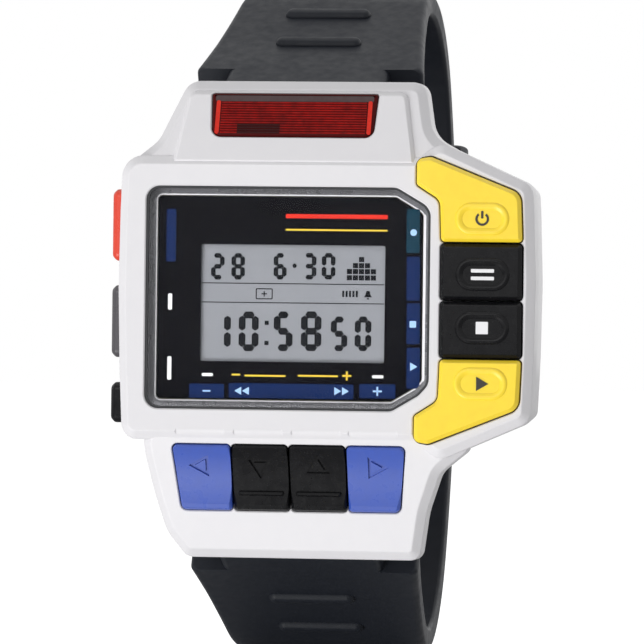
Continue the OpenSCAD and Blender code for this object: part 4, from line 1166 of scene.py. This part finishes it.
def band_sections(width: np.ndarray, thick: np.ndarray, outer_r: float,
                  inner_r: float) -> np.ndarray:
    """Sections of a band: rounded rectangles with one radius outside and another inside.

    Args:
        width: width at each station.
        thick: thickness at each station.
        outer_r: radius of the two outer edges, where the band is thick enough for it.
        inner_r: radius of the two inner edges, where the band is thick enough for it.

    Returns:
        One outline for each station; each corner is a quarter circle of six points.
    """
    t = np.linspace(0, math.pi / 2, 6)
    parts = []
    for quarter, (sx, sy) in enumerate(((1, 1), (-1, 1), (-1, -1), (1, -1))):
        r = np.minimum(outer_r if sy > 0 else inner_r, 0.45 * thick)[:, None]
        angle = t + quarter * math.pi / 2
        parts.append(np.stack([sx * (width[:, None] / 2 - r) + r * np.cos(angle),
                               sy * (thick[:, None] / 2 - r) + r * np.sin(angle)], -1))
    return np.concatenate(parts, 1)


@dataclass
class Strap:
    """One half of the strap: a band with a narrow tongue, raised ribs and its openings.

    The tongue reaches from the spring bar to the length tongue_s, and the band thins down to the
    length thin_s. The band's end is rounded over the length close, and the upper half goes on to
    the buckle's pin by a tail of its own length.
    """

    end: End
    end_z: float
    route: Route = Route()
    tongue_w: float = 16.4
    root_w: float = 23.5
    far_w: float = 18.6
    pin_w: float = 15.2
    root_t: float = 3.4
    thin_t: float = 2.6
    pin_r: float = 1.5
    tongue_s: float = 5.08
    thin_s: float = 12.0
    lead: float = 0.45
    close: float = 3.0
    tail_l: float = 3.5
    bar_r: float = 0.8
    pin_bore: float = 0.61
    slot: Triple = (2.4, 7, 0.3)
    hole_r: float = 1.1
    holes_z: Triple = (10.5, 16.5, 22.5)
    rib_plan: Triple = (8.8, 1.6, 0.79)
    rib_at: tuple[float, ...] = (11.7, 18.6, 25.5)

    def width_at(self, s: np.ndarray) -> np.ndarray:
        """Width of the band: it narrows less and less, and sooner on the upper half."""
        reach, power = (24, 1.7) if self.end is End.UPPER else (44, 2.2)
        share = np.clip((self.route.points(s)[:, 1] - 0.3) / reach, 0, 1)
        return self.far_w + (self.root_w - self.far_w) * (1 - share) ** power

    def stations(self, last: float) -> tuple[np.ndarray, np.ndarray, np.ndarray]:
        """Lengths along the route with the band's width and thickness at each of them.

        Args:
            last: length at which the half ends, or at which its buckle pin lies.

        Returns:
            The lengths, widths and thicknesses.
        """
        upper, root_r, close = self.end is End.UPPER, self.root_t / 2, self.close
        stop = last - self.tail_l if upper else last
        tongue = np.concatenate([-root_r * np.cos(np.linspace(0.12, math.pi / 2, 7)), [2.5, 5.0]])
        rounding = close * np.sin(np.linspace(0.1, math.pi / 2, 10))
        start = self.tongue_s + np.array([0, 0.12, 0.32, 0.62])
        band = np.concatenate([start, np.linspace(6.2, 20, 15), np.linspace(21, 46, 40),
                               np.linspace(47.5, stop - close, 12), stop - close + rounding])
        near = np.clip((band - (stop - close)) / close, 0, 0.995)
        shrink = (close - close * np.sqrt(1 - near ** 2)) * (0.35 if upper else 1.6)
        lead = self.lead * (1 - np.clip((band - self.tongue_s) / 0.6, 0, 1)) ** 2
        parts = [(tongue, np.full(len(tongue), self.tongue_w)),
                 (band, self.width_at(band) - 2 * (shrink + lead))]
        if upper:
            round_pin = last - self.pin_r * np.cos(np.linspace(1.05, 3.0, 9))
            tail = np.concatenate([[stop + 0.06, last - 0.8], round_pin])
            parts.append((tail, np.full(len(tail), self.pin_w)))
        s, width = (np.concatenate(column) for column in zip(*parts))
        thick = self.root_t + (self.thin_t - self.root_t) * np.clip(s / self.thin_s, 0, 1)
        thick = np.where(s < 0, 2 * np.sqrt(np.clip(root_r ** 2 - s ** 2, 0, None)), thick)
        if upper:
            round_t = 2 * np.sqrt(np.clip(self.pin_r ** 2 - (s - last) ** 2, 0, None))
            thick = np.where(s > last, round_t, np.maximum(thick, round_t))
        return s, width, thick

    def build(self) -> None:
        """Make the half strap. The lower half is made upwards and then mirrored."""
        last, name = self.route.length_to(self.end_z), f"{self.end.value}_strap"
        s, width, thick = self.stations(last)
        sections = band_sections(width, thick, 0.75, 0.45)
        band = Form().tube(self.route.points(s), sections, (-1, 0, 0))
        rib = eased([(0, -0.6), (0, 0.15), (0.3, 0.55), (0.62, 0.62), (0.74, 0.62)], 0.16)
        ribs = [Form().block(box_outline(0, 0, *self.rib_plan), rib,
                             self.route.frame_at(at, self.thin_t / 2)) for at in self.rib_at]
        mesh = joined(joined(band.mesh(name), ribs, Join.ADD), self.openings(last), Join.CUT)
        if self.end is End.LOWER:
            mesh.transform(Matrix.Diagonal((1, 1, -1, 1)))
            mesh.flip_normals()
        place_piece(f"{name}_half", mesh, RUBBER, f"{name}_body", [name], 40)

    def openings(self, last: float) -> list[Form]:
        """Make what is cut from the half: the spring bar's tunnel, and the slot or the holes."""
        at = self.route.frame_at
        y, z = self.route.root
        tunnel = circle(0, 0, self.bar_r, 32)
        cuts = [Form().tube(np.array([[-14, y, z], [12, y, z]]), tunnel, (0, 1, 0))]
        if self.end is End.LOWER:
            places = [at(self.route.length_to(hole_z)) for hole_z in self.holes_z]
            hole = circle(0, 0, self.hole_r, 32)
            return cuts + [Form().plate([hole], -4, 4, place) for place in places]
        pin = self.route.points(np.array([last]))[0]
        bore = np.array([pin - (12, 0, 0), pin + (12, 0, 0)])
        return cuts + [Form().plate([box_outline(0, 0, *self.slot)], -4, 4, at(last)),
                       Form().tube(bore, circle(0, 0, self.pin_bore, 32), (0, 1, 0))]


@dataclass
class Keeper:
    """Rubber ring round the strap and the space over it, at an angle on the strap's far arc."""

    node: str
    middle: float
    length: float
    body: str
    route: Route = Route()
    plan: Triple = (19.8, 6.7, 1.3)
    wall: float = 0.86
    lift: float = 1.5

    def build(self) -> None:
        """Make the ring: a rounded flat section carried round a rounded rectangle."""
        a = math.radians(self.middle)
        out = np.array([0, math.cos(a), math.sin(a)])
        along = np.array([0, -math.sin(a), math.cos(a)])
        centre = np.array([STRAP_X, self.route.far_y, 0]) + (self.route.far_r + self.lift) * out
        plan = box_outline(0, 0, *self.plan)
        path = centre + plan[:, :1] * np.array([1, 0, 0]) + plan[:, 1:] * out
        ring = Form().tube(path, box_outline(0, 0, self.length, self.wall, 0.3), along, loop=True)
        place_piece(f"{self.node}_ring", ring, RUBBER, self.body, [self.node], 50)


@dataclass
class Buckle:
    """Buckle: a rounded wire frame with two eyes round the pin, and a prong with its own eye."""

    pin_s: float
    route: Route = Route()
    half_w: float = 10.1
    length: float = 8.2
    wire: Pair = (2.2, 1.6)
    frame_eye: Pair = (1.6, 1.1)
    prong_eye: Pair = (2, 1.3)
    pin_bore: float = 0.65

    def eye(self, form: Form, u: float, width: float, radius: float, place: Matrix) -> None:
        """Add a ring round the pin, from u - width / 2 to u + width / 2."""
        low, high, wall = u - width / 2, u + width / 2, radius - self.pin_bore
        profile = [(0, high - 0.12), (0.1, high), (wall, high), (wall, low), (0.1, low),
                   (0, low + 0.12)]
        form.block(circle(0, 0, radius), profile, place @ PIN_AXES, loop=True)

    def build(self) -> None:
        """Make the frame with its two eyes, and the prong with its own."""
        place = self.route.frame_at(self.pin_s)
        corners = [(self.half_w, 0.85, 0), (self.half_w, self.length, 2.2),
                   (-self.half_w, self.length, 2.2), (-self.half_w, 0.85, 0)]
        path = np.insert(rounded(corners), 2, 0, 1)
        wide, thick = (np.full(len(path), size) for size in self.wire)
        wire = Form().tube(path, band_sections(wide, thick, 0.6, 0.6), (0, 0, 1), place=place)
        notch = Form().plate([box_outline(0, self.length, 2.8, 3, 0.2)], 0.4, 3, place)
        eyes = Form()
        for side in (-1, 1):
            self.eye(eyes, side * self.half_w, *self.frame_eye, place)
        mesh = joined(joined(wire.mesh("buckle_frame"), [notch], Join.CUT), [eyes], Join.ADD)
        place_piece("buckle_frame_wire", mesh, STEEL, "buckle_body", ["buckle_frame"])
        prong = Form().block(box_outline(0, 5.1, 1.9, 7.7, 0.6), eased(
            [(0.2, 0.46), (0, 0.62), (0, 1.1), (0.25, 1.3), (0.4, 1.3)], 0.1), place)
        self.eye(prong, 0, *self.prong_eye, place)
        place_piece("buckle_prong_bar", prong, STEEL, "prong_body", ["buckle_prong"])


# ---------------------------------------------------------------- stage

WORLD_STRENGTH = 0.4
FLOOR_TONE, FLOOR_ROUGH, FLOOR_GLOW = 0.82, 0.9, 0.75
# half the floor's width, and its distance under the watch, in metres
FLOOR_HALF, FLOOR_GAP = 3, 0.0002


def pale_world() -> None:
    """White background for the camera, gloss and glass, and a plain grey light for the rest."""
    world = bpy.data.worlds.new("pale_world")
    bpy.context.scene.world = world
    world.use_nodes = True
    tree = world.node_tree
    ray = add(tree, "ShaderNodeLightPath").outputs
    seen = reckon(tree, "MAXIMUM", ray["Is Camera Ray"], ray["Is Glossy Ray"])
    seen = reckon(tree, "MAXIMUM", seen, ray["Is Transmission Ray"])
    plain = tree.nodes["Background"]
    plain.inputs["Color"].default_value = WHITE
    plain.inputs["Strength"].default_value = WORLD_STRENGTH
    white = add(tree, "ShaderNodeBackground", {"Color": WHITE, "Strength": 1.0})
    mix = add(tree, "ShaderNodeMixShader", {0: seen, 1: plain.outputs[0], 2: white.outputs[0]})
    tree.links.new(mix.outputs[0], tree.nodes["World Output"].inputs["Surface"])


def pale_floor(height: float) -> None:
    """Pale floor that is white where no shadow falls, and lets the low lamp's light through.

    Args:
        height: the floor's height in metres.
    """
    mesh = bpy.data.meshes.new("floor")
    corners = [(x * FLOOR_HALF, y * FLOOR_HALF, height)
               for x, y in ((-1, -1), (1, -1), (1, 1), (-1, 1))]
    mesh.from_pydata(corners, [], [(0, 1, 2, 3)])
    floor = linked("floor", mesh)
    made = bpy.data.materials.new("pale_floor")
    made.use_nodes = True
    tree = made.node_tree
    shader = tree.nodes["Principled BSDF"]
    shader.inputs["Base Color"].default_value = (FLOOR_TONE, FLOOR_TONE, FLOOR_TONE, 1)
    shader.inputs["Roughness"].default_value = FLOOR_ROUGH
    shader.inputs["Specular IOR Level"].default_value = 0.0
    seen = add(tree, "ShaderNodeLightPath").outputs["Is Camera Ray"]
    glow = add(tree, "ShaderNodeEmission", {"Color": WHITE, "Strength": FLOOR_GLOW})
    lit = add(tree, "ShaderNodeAddShader", {0: shader.outputs[0], 1: glow.outputs[0]})
    mix = add(tree, "ShaderNodeMixShader", {0: seen, 1: shader.outputs[0], 2: lit.outputs[0]})
    tree.links.new(mix.outputs[0], tree.nodes["Material Output"].inputs["Surface"])
    mesh.materials.append(made)
    floor.visible_shadow = False


@dataclass(frozen=True)
class Lamp:
    """Rectangular lamp aimed at the origin, in metres and watts."""

    name: str
    at: Triple
    size: Pair
    power: float

    def hang(self) -> None:
        """Hang the lamp."""
        data = bpy.data.lights.new(self.name, "AREA")
        data.shape, data.energy = "RECTANGLE", self.power
        data.size, data.size_y = self.size
        lamp = linked(self.name, data)
        lamp.location = self.at
        lamp.rotation_euler = (-Vector(self.at)).to_track_quat("-Z", "Y").to_euler()


LAMPS = (Lamp("low_left_lamp", (-0.42, -0.62, -0.42), (0.5, 0.4), 5.2),
         Lamp("front_lamp", (-0.25, -0.8, 0.25), (0.5, 0.4), 1.1),
         Lamp("back_right_lamp", (0.6, 0.5, 0.3), (0.4, 0.5), 1.0),
         Lamp("top_lamp", (0, -0.1, 0.8), (0.7, 0.5), 1.0))


@dataclass(frozen=True)
class PhotoCamera:
    """Long lens a little to the right of the face, rolled as in the photograph.

    Lengths are in metres, apart from the sensor's; view_w is the width seen at the distance.
    """

    aim: Triple = (0.0022, -0.012, -0.00015)
    azimuth: float = math.radians(9)
    roll: float = math.radians(0.7)
    distance: float = 0.7
    view_w: float = 0.0636
    sensor: float = 36

    def place(self) -> None:
        """Set the camera up."""
        data = bpy.data.cameras.new("camera")
        camera = linked("camera", data)
        way = Vector((math.sin(self.azimuth), -math.cos(self.azimuth), 0))
        camera.location = Vector(self.aim) + way * self.distance
        turn = (-way).to_track_quat("-Z", "Y").to_matrix() @ Matrix.Rotation(self.roll, 3, "Z")
        camera.rotation_euler = turn.to_euler()
        data.sensor_width = self.sensor
        data.lens = self.sensor * self.distance / self.view_w
        data.clip_start, data.clip_end = 0.01, 20
        bpy.context.scene.camera = camera


def dress_nodes() -> None:
    """Give the CAD nodes that stay their finishes."""
    for finish, names in SOLID_FINISHES:
        for name in names.split():
            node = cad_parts[name]
            node.data.materials.clear()
            node.data.materials.append(finish.material())
            LOG.info("%s keeps its solid", name)


def main() -> None:
    """Build the watch and its stage in order."""
    logging.basicConfig(level=logging.INFO, format="%(name)s %(message)s")
    cad_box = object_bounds()
    bpy.context.scene.view_settings.view_transform = "Standard"
    PhotoCamera().place()
    dress_nodes()
    for part in (Case, Display, InfraredWindow, RightKeys, FrontKeys, Pushers):
        part().build()
    Strap(End.UPPER, PIN_Z).build()
    Strap(End.LOWER, TAIL_Z).build()
    Keeper("fixed_keeper", 14.7, 2.8, "upper_strap_body").build()
    Keeper("sliding_keeper", 18.2, 2.98, "keeper_body").build()
    Buckle(Route().length_to(PIN_Z)).build()
    pale_world()
    pale_floor(cad_box[0][2] - FLOOR_GAP)
    for lamp in LAMPS:
        lamp.hang()


if __name__ == "__main__":
    main()
